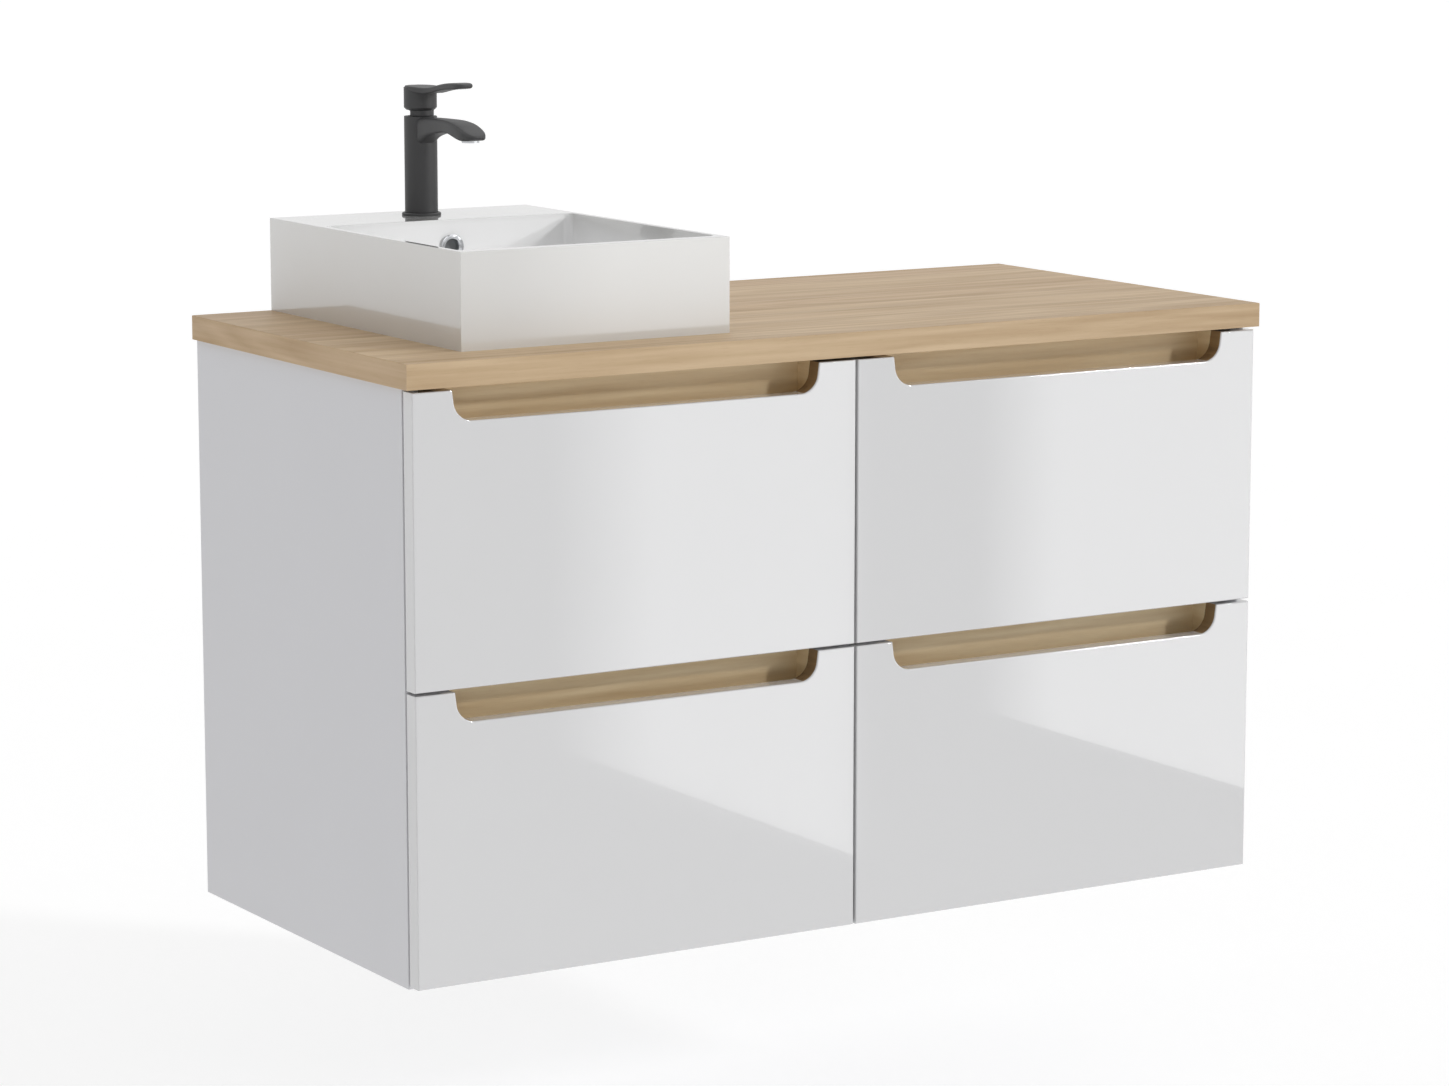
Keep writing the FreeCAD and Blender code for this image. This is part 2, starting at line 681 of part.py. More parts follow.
def make_trap():
    """Bottle trap under the waste, with an outlet pipe that ends at the wall."""
    thread = "waste_tube_radius + thread_gap"
    nut = tube("basin_x", "waste_y", "trap_top", "trap_nut_radius", thread, "trap_nut_height")
    keep(nut, "trap_inlet_nut")
    shell = [
        ("trap_dip_radius - trap_wall", "-dip_depth"),
        ("trap_dip_radius", "-dip_depth"),
        ("trap_dip_radius", "trap_height - trap_wall"),
        ("trap_radius - trap_wall", "trap_height - trap_wall"),
        ("trap_radius - trap_wall", 0),
        ("trap_radius", 0),
        ("trap_radius", "trap_height"),
        ("trap_dip_radius - trap_wall", "trap_height"),
    ]
    bottle = turned("basin_x", "waste_y", "trap_split", shell)
    socket_y = "waste_y + trap_radius - trap_wall"
    socket_length = f"socket_end - ({socket_y})"
    socket = cylinder("basin_x", socket_y, "outlet_z", "socket_radius", socket_length, TOWARDS_WALL)
    bore_y = "waste_y + trap_dip_radius + overrun"
    bore_radius = "outlet_radius - outlet_step + outlet_gap"
    bore = cylinder("basin_x", bore_y, "outlet_z", bore_radius, "socket_reach", TOWARDS_WALL)
    keep(cut(fuse(bottle, socket), bore), "trap_bottle")
    cup = [
        (0, 0),
        ("trap_radius", 0),
        ("trap_radius", "trap_cup_height"),
        ("trap_radius - trap_wall", "trap_cup_height"),
        ("trap_radius - trap_wall", "trap_wall"),
        (0, "trap_wall"),
    ]
    keep(turned("basin_x", "waste_y", "trap_bottom", cup), "trap_cup")
    nut_y = "socket_end - outlet_nut_length / 2"
    thread = "socket_radius + thread_gap"
    nut_size = ("outlet_nut_radius", thread, "outlet_nut_length")
    keep(tube("basin_x", nut_y, "outlet_z", *nut_size, TOWARDS_WALL), "trap_outlet_nut")
    pipe_y = "socket_end - outlet_entry"
    free_y = "socket_end + outlet_nut_length / 2 + outlet_nut_clearance"
    held_size = ("outlet_radius - outlet_step", f"{free_y} - ({pipe_y})")
    held = cylinder("basin_x", pipe_y, "outlet_z", *held_size, TOWARDS_WALL)
    free = cylinder("basin_x", free_y, "outlet_z", "outlet_radius", f"wall_y - ({free_y})", TOWARDS_WALL)
    room_size = ("outlet_radius - outlet_wall", f"wall_y - ({pipe_y}) + 2 * overrun")
    room = cylinder("basin_x", f"{pipe_y} - overrun", "outlet_z", *room_size, TOWARDS_WALL)
    keep(cut(fuse(held, free), room), "trap_outlet_pipe")


# Sections of the spout from root to tip: shares of its reach, width and height, the share of its
# fall below the root, and how far the section leans.
SPOUT_SECTIONS = (
    (0.06, 0.90, 1.45, -0.1, 0),
    (0.22, 0.80, 1.00, -0.2, 0),
    (0.55, 0.85, 0.90, 0.0, 0),
    (0.86, 1.00, 0.80, 0.7, 12),
    (1.00, 0.55, 0.45, 1.0, 20),
)


def spout_section(reach, width, height, fall, lean):
    """An upright oval section of the spout in front of the tap's axis."""
    item = doc.addObject("Part::Ellipse", "Section")
    item.Placement.Rotation = FreeCAD.Rotation(FreeCAD.Vector(1, 0, 0), 90 + lean)
    bind(item, MajorRadius=f"spout_width * {width} / 2", MinorRadius=f"spout_height * {height} / 2")
    return move(item, "basin_x", f"tap_y - spout_reach * {reach}", f"spout_z - spout_fall * {fall}")


def make_tap():
    """Single-lever mixer: body with spout, base ring, cartridge, collar, spindle, lever and fixings."""
    place = ("basin_x", "tap_y")
    ring = tube(*place, "basin_top", "tap_ring_radius", "tap_ring_bore", "tap_ring_height")
    keep(ring, "tap_base_ring")
    base_z = "basin_top + tap_ring_height"
    column = cylinder(*place, base_z, "tap_body_radius", "tap_body_height")
    spout = doc.addObject("Part::Loft", "Spout")
    spout.Sections = [spout_section(*section) for section in SPOUT_SECTIONS]
    spout.Solid = True
    bore_z = "body_top - cartridge_height"
    bore = cylinder(*place, bore_z, "tap_body_bore", "cartridge_height + overrun")
    stud_thread = "stud_radius + thread_gap"
    thread = cylinder(*place, f"{base_z} - overrun", stud_thread, "stud_entry + overrun")
    outlet = ("basin_x", "tap_y - spout_reach + aerator_inset")
    aerator_z = "spout_z - spout_fall - aerator_drop"
    seat_depth = "aerator_height + spout_height"
    seat_radius = "aerator_radius + thread_gap"
    seat = cylinder(*outlet, f"{aerator_z} - spout_height", seat_radius, seat_depth)
    keep(cut(fuse(column, spout), bore, thread, seat), "tap_body")
    keep(tube(*outlet, aerator_z, "aerator_radius", "aerator_bore", "aerator_height"), "tap_aerator")

    stem_hole = "spindle_radius + spindle_gap"
    cartridge = cylinder(*place, bore_z, "tap_body_bore - cartridge_gap", "cartridge_height")
    stem_room = cylinder(*place, "body_top - spindle_depth", stem_hole, "cartridge_height")
    keep(cut(cartridge, stem_room), "tap_cartridge")
    keep(tube(*place, "body_top", "collar_radius", stem_hole, "collar_height"), "tap_collar")

    stem_z = "body_top - spindle_depth + spindle_gap"
    stem = cylinder(*place, stem_z, "spindle_radius", f"lift_pin_z + spindle_radius - ({stem_z})")
    pin_half = "(cap_bore - lift_pin_gap)"
    pin_x = f"basin_x - {pin_half}"
    pin = cylinder(pin_x, "tap_y", "lift_pin_z", "lift_pin_radius", f"2 * {pin_half}", ACROSS)
    keep(fuse(stem, pin), "tap_spindle")

    cap = cylinder(*place, "cap_bottom + cap_chamfer", "tap_body_radius", "cap_height - cap_chamfer")
    chamfer = doc.addObject("Part::Cone", "Chamfer")
    bind(chamfer, Radius1="tap_body_radius - cap_chamfer", Radius2="tap_body_radius", Height="cap_chamfer")
    move(chamfer, *place, "cap_bottom")
    cap_room = cylinder(*place, "cap_bottom - overrun", "cap_bore", "cap_bore_depth + overrun")
    blade_y = "tap_y - lever_reach"
    blade_z = "cap_top - lever_thickness"
    blade = box("basin_x", blade_y, blade_z, "lever_width", "lever_reach", "lever_thickness")
    tip = box("basin_x", blade_y, "cap_top", "lever_width", "lever_tip_length", "lever_climb")
    plug_y = "tap_y - tap_body_radius"
    plug_z = "lift_pin_z + index_plug_rise"
    plug_seat_size = ("index_plug_radius + thread_gap", "index_plug_depth + overrun")
    plug_seat = cylinder("basin_x", f"{plug_y} - overrun", plug_z, *plug_seat_size, TOWARDS_WALL)
    skirt = doc.addObject("Part::Cone", "Skirt")
    bind(skirt, Radius1="skirt_foot_radius", Radius2="skirt_radius", Height="skirt_drop")
    move(skirt, *place, "cap_bottom - skirt_drop")
    skirt_room_z = "cap_bottom - skirt_drop - overrun"
    skirt_room = cylinder(*place, skirt_room_z, "skirt_bore", "skirt_drop + 2 * overrun")
    lever = cut(fuse(cap, chamfer, blade, tip), cap_room, plug_seat)
    keep(fuse(lever, cut(skirt, skirt_room)), "tap_lever")
    plug = cylinder("basin_x", plug_y, plug_z, "index_plug_radius", "index_plug_depth", TOWARDS_WALL)
    keep(plug, "tap_index_plug")

    stud_z = f"{base_z} + stud_entry - stud_length"
    keep(cylinder(*place, stud_z, "stud_radius", "stud_length"), "tap_stud")
    washer_z = "basin_top - deck_thickness - clamp_washer_thickness"
    washer = tube(*place, washer_z, "clamp_washer_radius", stud_thread, "clamp_washer_thickness")
    keep(washer, "tap_clamp_washer")
    nut_z = f"{washer_z} - stud_nut_height"
    keep(hex_nut("tap_y", nut_z, "stud_nut_radius", "stud_radius", "stud_nut_height"), "tap_stud_nut")


make_carcass()
make_worktop()
rails = []
for side, sign in SIDES:
    for row, low_z in (("lower", "bottom_reveal"), ("upper", "bottom_reveal + front_height + row_gap")):
        make_drawer(side, row, sign, low_z)
        rails += [runner_rail(f"{sign} * opening_centre", turn, low_z) for turn in (-1, 1)]
keep(group(*rails), "runner_rails")
make_basin()
make_waste()
make_trap()
make_tap()
doc.recompute()

for item in doc.Objects:
    if "Invalid" in item.State or "Error" in item.State:
        raise RuntimeError(f"{item.Label} could not be built")
os.makedirs("parts", exist_ok=True)
for piece in pieces:
    if piece.Shape.isNull() or not piece.Shape.isValid():
        raise RuntimeError(f"{piece.Label} is not a valid shape")
    piece.Shape.exportStep(f"parts/{piece.Label}.step")
print(len(pieces), "sub-parts written")
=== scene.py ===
"""Looks of a wall-hung bathroom vanity with a vessel basin, a mixer tap and four drawers.

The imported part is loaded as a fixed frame. Each class below dresses one sub-assembly: it builds
the pieces whose looks need a finer mesh, gives every other part a rounded copy or a finish of its
own, and lets each piece ride on the body that carries it. All lengths are in metres.
"""
import json
import logging
import math
from dataclasses import dataclass
from enum import Enum
from typing import Iterable, Mapping, Sequence

import bmesh
import bpy
from mathutils import Matrix, Vector


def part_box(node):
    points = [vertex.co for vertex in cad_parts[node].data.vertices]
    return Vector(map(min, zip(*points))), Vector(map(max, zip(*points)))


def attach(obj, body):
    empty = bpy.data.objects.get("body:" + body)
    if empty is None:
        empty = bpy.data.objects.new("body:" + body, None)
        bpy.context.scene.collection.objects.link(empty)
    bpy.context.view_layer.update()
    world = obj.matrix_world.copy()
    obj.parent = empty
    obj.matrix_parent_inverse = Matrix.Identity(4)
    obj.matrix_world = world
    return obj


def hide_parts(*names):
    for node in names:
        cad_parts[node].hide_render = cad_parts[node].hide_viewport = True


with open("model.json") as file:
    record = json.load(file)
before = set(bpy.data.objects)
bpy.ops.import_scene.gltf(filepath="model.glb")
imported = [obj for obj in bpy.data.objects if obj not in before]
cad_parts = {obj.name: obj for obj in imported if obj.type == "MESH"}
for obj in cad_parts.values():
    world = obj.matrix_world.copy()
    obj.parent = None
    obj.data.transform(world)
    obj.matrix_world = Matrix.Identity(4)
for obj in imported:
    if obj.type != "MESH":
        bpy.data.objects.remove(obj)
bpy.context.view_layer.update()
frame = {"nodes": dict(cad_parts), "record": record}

log = logging.getLogger("vanity")

Triple = tuple[float, float, float]
Colour = Triple
MILLIMETRE = 0.001
MERGE_DISTANCE = 1e-6
OVERSHOOT = 0.001
SMOOTH_ANGLE = math.radians(40)
TURNED_ANGLE = 0.45
FRONT_RIM_ANGLE = 1.0
BROKEN_ANGLE = math.radians(50)


class Slot(Enum):
    """The record's material slots."""

    FRONT = "gloss_white_front"
    OAK = "oak_decor"
    BOARD = "white_board"
    DRAWER_SIDE = "drawer_side_board"
    ZINC = "zinc_steel"
    CERAMIC = "white_glazed_ceramic"
    CHROME = "chrome"
    BRASS = "brass_nut"
    WHITE_PLASTIC = "white_plastic"
    GREY_PLASTIC = "grey_plastic"
    DARK_PLASTIC = "dark_plastic"
    TAP = "tap_black"
    AERATOR = "aerator"


class Axis(Enum):
    """Directions in which a turned piece can point."""

    UP = "up"
    TO_WALL = "to wall"

    def turn(self) -> Matrix:
        """The rotation from straight up to this direction."""
        return Matrix.Identity(4) if self is Axis.UP else Matrix.Rotation(-math.pi / 2, 4, "X")


def shade(red: int, green: int, blue: int) -> Colour:
    """A screen colour as the linear colour that shaders use.

    Args:
        red: Red from 0 to 255.
        green: Green from 0 to 255.
        blue: Blue from 0 to 255.

    Returns:
        The linear colour.
    """

    def linear(level: int) -> float:
        """One channel made linear."""
        share = level / 255
        return share / 12.92 if share <= 0.04045 else ((share + 0.055) / 1.055) ** 2.4

    return linear(red), linear(green), linear(blue)


class Sock:
    """A number in a material's node tree, on which arithmetic adds Math nodes."""

    def __init__(self, bench: "Bench", socket: bpy.types.NodeSocket) -> None:
        """Wrap a socket of a bench's tree."""
        self.bench = bench
        self.socket = socket

    def math(self, operation: str, *others: "Sock | float", flipped: bool = False) -> "Sock":
        """Add a Math node on this number.

        Args:
            operation: The Math node's operation.
            others: The node's other numbers.
            flipped: True where this number comes second.

        Returns:
            The node's result.
        """
        values = [self, *others]
        if flipped:
            values.reverse()
        made = self.bench.node("ShaderNodeMath", {"operation": operation}, dict(enumerate(values)))
        return Sock(self.bench, made.outputs[0])

    def __add__(self, other: "Sock | float") -> "Sock":
        """This number plus another."""
        return self.math("ADD", other)

    def __radd__(self, other: float) -> "Sock":
        """Another number plus this one."""
        return self.math("ADD", other, flipped=True)

    def __sub__(self, other: "Sock | float") -> "Sock":
        """This number less another."""
        return self.math("SUBTRACT", other)

    def __rsub__(self, other: float) -> "Sock":
        """Another number less this one."""
        return self.math("SUBTRACT", other, flipped=True)

    def __mul__(self, other: "Sock | float") -> "Sock":
        """This number times another."""
        return self.math("MULTIPLY", other)

    def __rmul__(self, other: float) -> "Sock":
        """Another number times this one."""
        return self.math("MULTIPLY", other, flipped=True)

    def __truediv__(self, other: "Sock | float") -> "Sock":
        """This number divided by another."""
        return self.math("DIVIDE", other)

    def __abs__(self) -> "Sock":
        """This number without its sign."""
        return self.math("ABSOLUTE")


class Bench:
    """The node tree of one material or of the world."""

    def __init__(self, tree: bpy.types.NodeTree) -> None:
        """Take a tree and empty it."""
        self.tree = tree
        tree.nodes.clear()

    def node(
        self,
        kind: str,
        settings: Mapping[str, object] | None = None,
        sockets: Mapping[str | int, object] | None = None,
    ) -> bpy.types.Node:
        """Add a node.

        Args:
            kind: The node's type.
            settings: Its properties, set first.
            sockets: The values or links of its inputs, by name or number.

        Returns:
            The new node.
        """
        made = self.tree.nodes.new(kind)
        for name, value in (settings or {}).items():
            setattr(made, name, value)
        for key, value in (sockets or {}).items():
            target = made.inputs[key]
            if isinstance(value, Sock):
                self.tree.links.new(value.socket, target)
            elif isinstance(value, bpy.types.NodeSocket):
                self.tree.links.new(value, target)
            elif isinstance(value, tuple) and len(value) == 3 and target.type == "RGBA":
                target.default_value = (*value, 1.0)
            else:
                target.default_value = value
        return made

    def place(self) -> bpy.types.NodeSocket:
        """The point on the piece, in the frame's own coordinates."""
        return self.node("ShaderNodeTexCoord").outputs["Object"]

    def split(self, vector: bpy.types.NodeSocket) -> tuple[Sock, Sock, Sock]:
        """The three numbers of a vector."""
        made = self.node("ShaderNodeSeparateXYZ", sockets={0: vector})
        return tuple(Sock(self, output) for output in made.outputs)

    def join(self, x: Sock | float, y: Sock | float, z: Sock | float) -> bpy.types.NodeSocket:
        """A vector from three numbers."""
        return self.node("ShaderNodeCombineXYZ", sockets={0: x, 1: y, 2: z}).outputs[0]

    def noise(self, vector: bpy.types.NodeSocket, scale: float, detail: float = 2.0) -> Sock:
        """Soft noise from 0 to 1.

        Args:
            vector: Where it is read.
            scale: Features per metre of the vector.
            detail: Octaves of finer noise.

        Returns:
            The noise.
        """
        sockets = {"Vector": vector, "Scale": scale, "Detail": detail}
        return Sock(self, self.node("ShaderNodeTexNoise", sockets=sockets).outputs[0])

    def spread(self, value: Sock, low: float, high: float, start: float, end: float) -> Sock:
        """A number moved from one range to another, and held inside it.

        Args:
            value: The number.
            low: Where the old range starts.
            high: Where the old range ends.
            start: What low becomes.
            end: What high becomes.

        Returns:
            The moved number.
        """
        sockets = {0: value, 1: low, 2: high, 3: start, 4: end}
        return Sock(self, self.node("ShaderNodeMapRange", sockets=sockets).outputs[0])

    def mix(self, share: Sock | float, first: object, second: object) -> bpy.types.NodeSocket:
        """A colour between two colours.

        Args:
            share: 0 for the first and 1 for the second.
            first: A colour or a link.
            second: A colour or a link.

        Returns:
            The mixed colour.
        """
        sockets = {0: share, 6: first, 7: second}
        return self.node("ShaderNodeMix", {"data_type": "RGBA"}, sockets).outputs[2]

    def bump(self, height: Sock, depth: float, strength: float) -> bpy.types.NodeSocket:
        """A normal from a height.

        Args:
            height: The height, from 0 to 1.
            depth: How deep 1 is, in metres.
            strength: How much of it shows.

        Returns:
            The normal.
        """
        sockets = {"Strength": strength, "Distance": depth, "Height": height}
        return self.node("ShaderNodeBump", sockets=sockets).outputs[0]


@dataclass(frozen=True)
class Finish:
    """A finish that makes one material and carries one of the record's slots. Subclasses paint it."""

    name: str
    slot: Slot | None
    colour: Colour
    roughness: float

    def material(self) -> bpy.types.Material:
        """The finish's material, made the first time that it is asked for.

        Returns:
            The material.
        """
        known = bpy.data.materials.get(self.name)
        if known:
            return known
        material = bpy.data.materials.new(self.name)
        material.use_nodes = True
        bench = Bench(material.node_tree)
        shader = bench.node("ShaderNodeBsdfPrincipled", sockets=self.constants())
        bench.node("ShaderNodeOutputMaterial", sockets={"Surface": shader.outputs[0]})
        for name, value in self.paint(bench).items():
            source = value.socket if isinstance(value, Sock) else value
            bench.tree.links.new(source, shader.inputs[name])
        return material

    def constants(self) -> dict[str, object]:
        """What is the same all over the surface."""
        return {"Base Color": self.colour, "Roughness": self.roughness}

    def paint(self, bench: Bench) -> dict[str, object]:
        """What changes over the surface, by the name of the shader's socket.

        Args:
            bench: The material's node tree.

        Returns:
            What feeds the shader's sockets, by name.
        """
        raise NotImplementedError


@dataclass(frozen=True)
class Lacquer(Finish):
    """High-gloss lacquer film: nearly flat, with a faint ripple of the spray and of the board."""

    ripples: float = 60.0
    ripple_depth: float = 0.00002

    def constants(self) -> dict[str, object]:
        """Two clear layers over the white ground."""
        return {**super().constants(), "Coat Weight": 1.0, "Coat Roughness": 0.02, "Coat IOR": 1.6}

    def paint(self, bench: Bench) -> dict[str, object]:
        """A ripple in the coat and a little dust in its gloss.

        Args:
            bench: The material's node tree.

        Returns:
            What feeds the shader's sockets, by name.
        """
        place = bench.place()
        ripple = bench.noise(place, self.ripples, 1.0)
        haze = bench.noise(place, 9.0)
        colour = bench.mix(haze, self.colour, tuple(0.985 * level for level in self.colour))
        return {
            "Base Color": colour,
            "Roughness": bench.spread(haze, 0.3, 0.7, self.roughness, 1.4 * self.roughness),
            "Normal": bench.bump(ripple, self.ripple_depth, 0.5),
        }


@dataclass(frozen=True)
class Board(Finish):
    """Melamine-faced board with the fine pearl of its press plate."""

    grain: float = 900.0
    pearl_depth: float = 0.00006

    def paint(self, bench: Bench) -> dict[str, object]:
        """Pearl in the surface and faint clouds in the white.

        Args:
            bench: The material's node tree.

        Returns:
            What feeds the shader's sockets, by name.
        """
        place = bench.place()
        pearl = bench.noise(place, self.grain, 3.0)
        cloud = bench.noise(place, 4.0)
        return {
            "Base Color": bench.mix(cloud, self.colour, tuple(0.97 * level for level in self.colour)),
            "Roughness": bench.spread(pearl, 0.3, 0.7, self.roughness, self.roughness + 0.12),
            "Normal": bench.bump(pearl, self.pearl_depth, 0.25),
        }


@dataclass(frozen=True)
class Oak(Finish):
    """Oak in staves that run along X, with rings, fibres and pores. The ends run along Y.

    A pattern is drawn out along the stave where its factor for the run is the smaller one.
    """

    dark: Colour = (0.3, 0.2, 0.1)
    rosy: Colour = (0.3, 0.2, 0.1)
    stave: float = 0.1
    offset: float = 0.3
    seam: float = 0.012
    pore_depth: float = 0.00012

    def paint(self, bench: Bench) -> dict[str, object]:
        """Staves of their own tone, with a figure, fibres, pores and thin seams.

        Args:
            bench: The material's node tree.

        Returns:
            What feeds the shader's sockets, by name.
        """
        x, y, z = bench.split(bench.place())
        across, _, _ = bench.split(bench.node("ShaderNodeTexCoord").outputs["Normal"])
        end = abs(across).math("GREATER_THAN", 0.7)
        run = x + (y - x) * end
        side = y + (x - y) * end
        count = side / self.stave + self.offset
        number = count.math("FLOOR")
        tones = bench.node("ShaderNodeTexWhiteNoise", {"noise_dimensions": "1D"}, {"W": number})
        tone = Sock(bench, tones.outputs[0])
        shift = number * 3.71
        slow = bench.join(run * 0.9 + shift, side * 7.0, z * 11.0 + shift)
        rings = (bench.noise(slow, 1.5, 1.5) * 11.0).math("FRACT")
        figure = abs(rings - 0.5) * 2.0
        fibre = bench.noise(bench.join(run * 5.0 + shift, side * 150.0, z * 150.0), 1.0, 4.0)
        streak = bench.noise(bench.join(run * 0.8, side * 26.0 + shift, z * 26.0), 1.0, 2.0)
        pores = bench.noise(bench.join(run * 55.0, side * 1400.0, z * 1400.0), 1.0, 1.0)
        pore = bench.spread(pores, 0.60, 0.72, 0.0, 1.0)
        close = 0.5 - abs(count - number - 0.5)
        seam = bench.spread(close, 0.0, self.seam, 1.0, 0.0)
        ground = bench.mix(tone, self.colour, self.rosy)
        depth = figure * 0.30 + bench.spread(fibre, 0.3, 0.7, 0.0, 0.42)
        depth = depth + bench.spread(streak, 0.38, 0.68, 0.0, 0.38) + pore * 0.16 + seam * 0.45
        colour = bench.mix(bench.spread(depth, 0.12, 1.25, 0.0, 1.0), ground, self.dark)
        relief = 1.0 - pore * 0.6 - seam * 0.8 - bench.spread(fibre, 0.3, 0.7, 0.0, 0.3)
        return {
            "Base Color": colour,
            "Roughness": bench.spread(fibre, 0.3, 0.7, self.roughness, self.roughness + 0.12),
            "Normal": bench.bump(relief, self.pore_depth, 0.5),
        }


@dataclass(frozen=True)
class Glaze(Finish):
    """Thick white glaze on sanitary ware, slightly wavy, and whiter in the bowl with painted light."""

    bowl_painted_light: Colour = (0.9, 0.9, 0.9)
    bowl_low: tuple[float, float] = (0.0, 0.0)
    bowl_high: tuple[float, float] = (0.0, 0.0)
    blend: float = 0.003

    def constants(self) -> dict[str, object]:
        """A clear coat over the white ground."""
        return {**super().constants(), "Coat Weight": 1.0, "Coat Roughness": 0.03, "IOR": 1.52}

    def paint(self, bench: Bench) -> dict[str, object]:
        """Slow waves, specks too small to see one by one, and the bowl whitened with painted light.

        Args:
            bench: The material's node tree.

        Returns:
            What feeds the shader's sockets, by name.
        """
        place = bench.place()
        wave = bench.noise(place, 14.0, 1.0)
        speck = bench.noise(place, 700.0, 2.0)
        thin = tuple(share * level for share, level in zip((0.985, 0.98, 0.965), self.colour))
        colour = bench.mix(wave, self.colour, thin)
        # The bowl's mask: the glaze inside it is whitened as painted light.
        inside: Sock | float = 1.0
        for along, low, high in zip(bench.split(place), self.bowl_low, self.bowl_high):
            out, half = abs(along - (low + high) / 2), (high - low) / 2
            inside = inside * bench.spread(out, half - self.blend, half, 1.0, 0.0)
        return {
            "Base Color": bench.mix(inside, colour, self.bowl_painted_light),
            "Roughness": bench.spread(speck, 0.3, 0.7, self.roughness, self.roughness + 0.05),
            "Normal": bench.bump(wave, 0.0006, 0.12),
        }


@dataclass(frozen=True)
class Metal(Finish):
    """Plated or turned metal with fine marks along one direction."""

    marks: float = 400.0
    stretch: Triple = (1.0, 1.0, 1.0)
    wear: float = 0.1

    def constants(self) -> dict[str, object]:
        """Bare metal all over."""
        return {**super().constants(), "Metallic": 1.0}

    def paint(self, bench: Bench) -> dict[str, object]:
        """Fine marks, and clouds of slightly duller metal.

        Args:
            bench: The material's node tree.

        Returns:
            What feeds the shader's sockets, by name.
        """
        x, y, z = bench.split(bench.place())
        place = bench.join(x * self.stretch[0], y * self.stretch[1], z * self.stretch[2])
        mark = bench.noise(place, self.marks, 3.0)
        cloud = bench.noise(bench.place(), 35.0)
        dull = tuple((1 - self.wear) * level for level in self.colour)
        return {
            "Base Color": bench.mix(cloud, self.colour, dull),
            "Roughness": bench.spread(mark, 0.25, 0.75, self.roughness, self.roughness + 1.5 * self.wear),
            "Normal": bench.bump(mark, 0.00004, 0.3),
        }


@dataclass(frozen=True)
class Plastic(Finish):
    """Moulded plastic with a fine spark-eroded grain."""

    grain: float = 1600.0

    def paint(self, bench: Bench) -> dict[str, object]:
        """Grain of the mould, and faint flow clouds.

        Args:
            bench: The material's node tree.

        Returns:
            What feeds the shader's sockets, by name.
        """
        place = bench.place()
        grain = bench.noise(place, self.grain, 2.0)
        flow = bench.noise(place, 22.0)
        return {
            "Base Color": bench.mix(flow, self.colour, tuple(0.93 * level for level in self.colour)),
            "Roughness": bench.spread(grain, 0.3, 0.7, self.roughness, self.roughness + 0.1),
            "Normal": bench.bump(grain, 0.00005, 0.3),
        }


@dataclass(frozen=True)
class PowderCoat(Finish):
    """Matt coating: a fine orange skin, a little lighter where hands rub it."""

    def paint(self, bench: Bench) -> dict[str, object]:
        """A fine skin, specks of lighter coating and slow clouds.

        Args:
            bench: The material's node tree.

        Returns:
            What feeds the shader's sockets, by name.
        """
        place = bench.place()
        skin = bench.noise(place, 1500.0, 2.0)
        speck = bench.spread(bench.noise(place, 2600.0, 1.0), 0.6, 0.75, 0.0, 1.0)
        cloud = bench.noise(place, 40.0)
        ground = bench.mix(cloud, self.colour, tuple(0.85 * level for level in self.colour))
        return {
            "Base Color": bench.mix(speck * 0.35, ground, tuple(1.7 * level for level in self.colour)),
            "Roughness": bench.spread(skin, 0.3, 0.7, self.roughness, self.roughness + 0.1),
            "Normal": bench.bump(skin, 0.00006, 0.35),
        }


LACQUER = Lacquer("white_lacquer", Slot.FRONT, shade(215, 215, 216), 0.06)
SIDE_BOARD = Board("white_melamine", Slot.BOARD, shade(223, 223, 226), 0.5)
DRAWER_BOARD = Board("grey_melamine", Slot.DRAWER_SIDE, shade(214, 215, 217), 0.5)
WORKTOP_OAK = Oak("worktop_oak", Slot.OAK, shade(209, 183, 147), 0.46, dark=shade(163, 132, 92),
                  rosy=shade(200, 171, 136), stave=0.104, offset=0.25)
# A much brighter copy of the oak: painted light that offsets the shade in the grip channel's recess.
CHANNEL_OAK_PAINTED_LIGHT = Oak("channel_oak_painted_light", Slot.OAK, shade(247, 228, 190), 0.5, dark=shade(210, 180, 134),
                  rosy=shade(240, 218, 178), stave=0.5, offset=0.47, seam=0.0)
# A darker copy of the oak: the notch's ends are lined in oak, and the darker tone is painted shade inside the
# notch.
NOTCH_EDGE_OAK_PAINTED_SHADE = Oak("notch_edge_oak_painted_shade", Slot.OAK, shade(150, 122, 84), 0.55, dark=shade(96, 72, 44),
               rosy=shade(140, 112, 76), stave=0.5, offset=0.47, seam=0.0)
# The bowl's whiter glaze is painted light.
CERAMIC = Glaze("white_glaze", Slot.CERAMIC, shade(226, 226, 225), 0.12, bowl_painted_light=shade(246, 246, 246),
                bowl_low=(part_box("basin")[0].x + 0.008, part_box("basin")[0].y + 0.012),
                bowl_high=(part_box("basin")[1].x - 0.008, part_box("basin")[1].y - 0.110))
CHROME = Metal("polished_chrome", Slot.CHROME, shade(214, 216, 219), 0.07, wear=0.04)
ZINC = Metal("zinc_plate", Slot.ZINC, shade(176, 179, 183), 0.34, marks=120.0, wear=0.12)
BRASS = Metal("turned_brass", Slot.BRASS, shade(196, 168, 110), 0.26, marks=900.0, stretch=(0.2, 0.2, 1.0))
INSERT = Metal("aerator_insert", Slot.AERATOR, shade(200, 202, 205), 0.25, wear=0.06)
WHITE_PLASTIC = Plastic("white_moulding", Slot.WHITE_PLASTIC, shade(226, 226, 224), 0.38)
GREY_PLASTIC = Plastic("grey_moulding", Slot.GREY_PLASTIC, shade(128, 130, 132), 0.45)
DARK_PLASTIC = Plastic("black_moulding", Slot.DARK_PLASTIC, shade(22, 22, 22), 0.4)
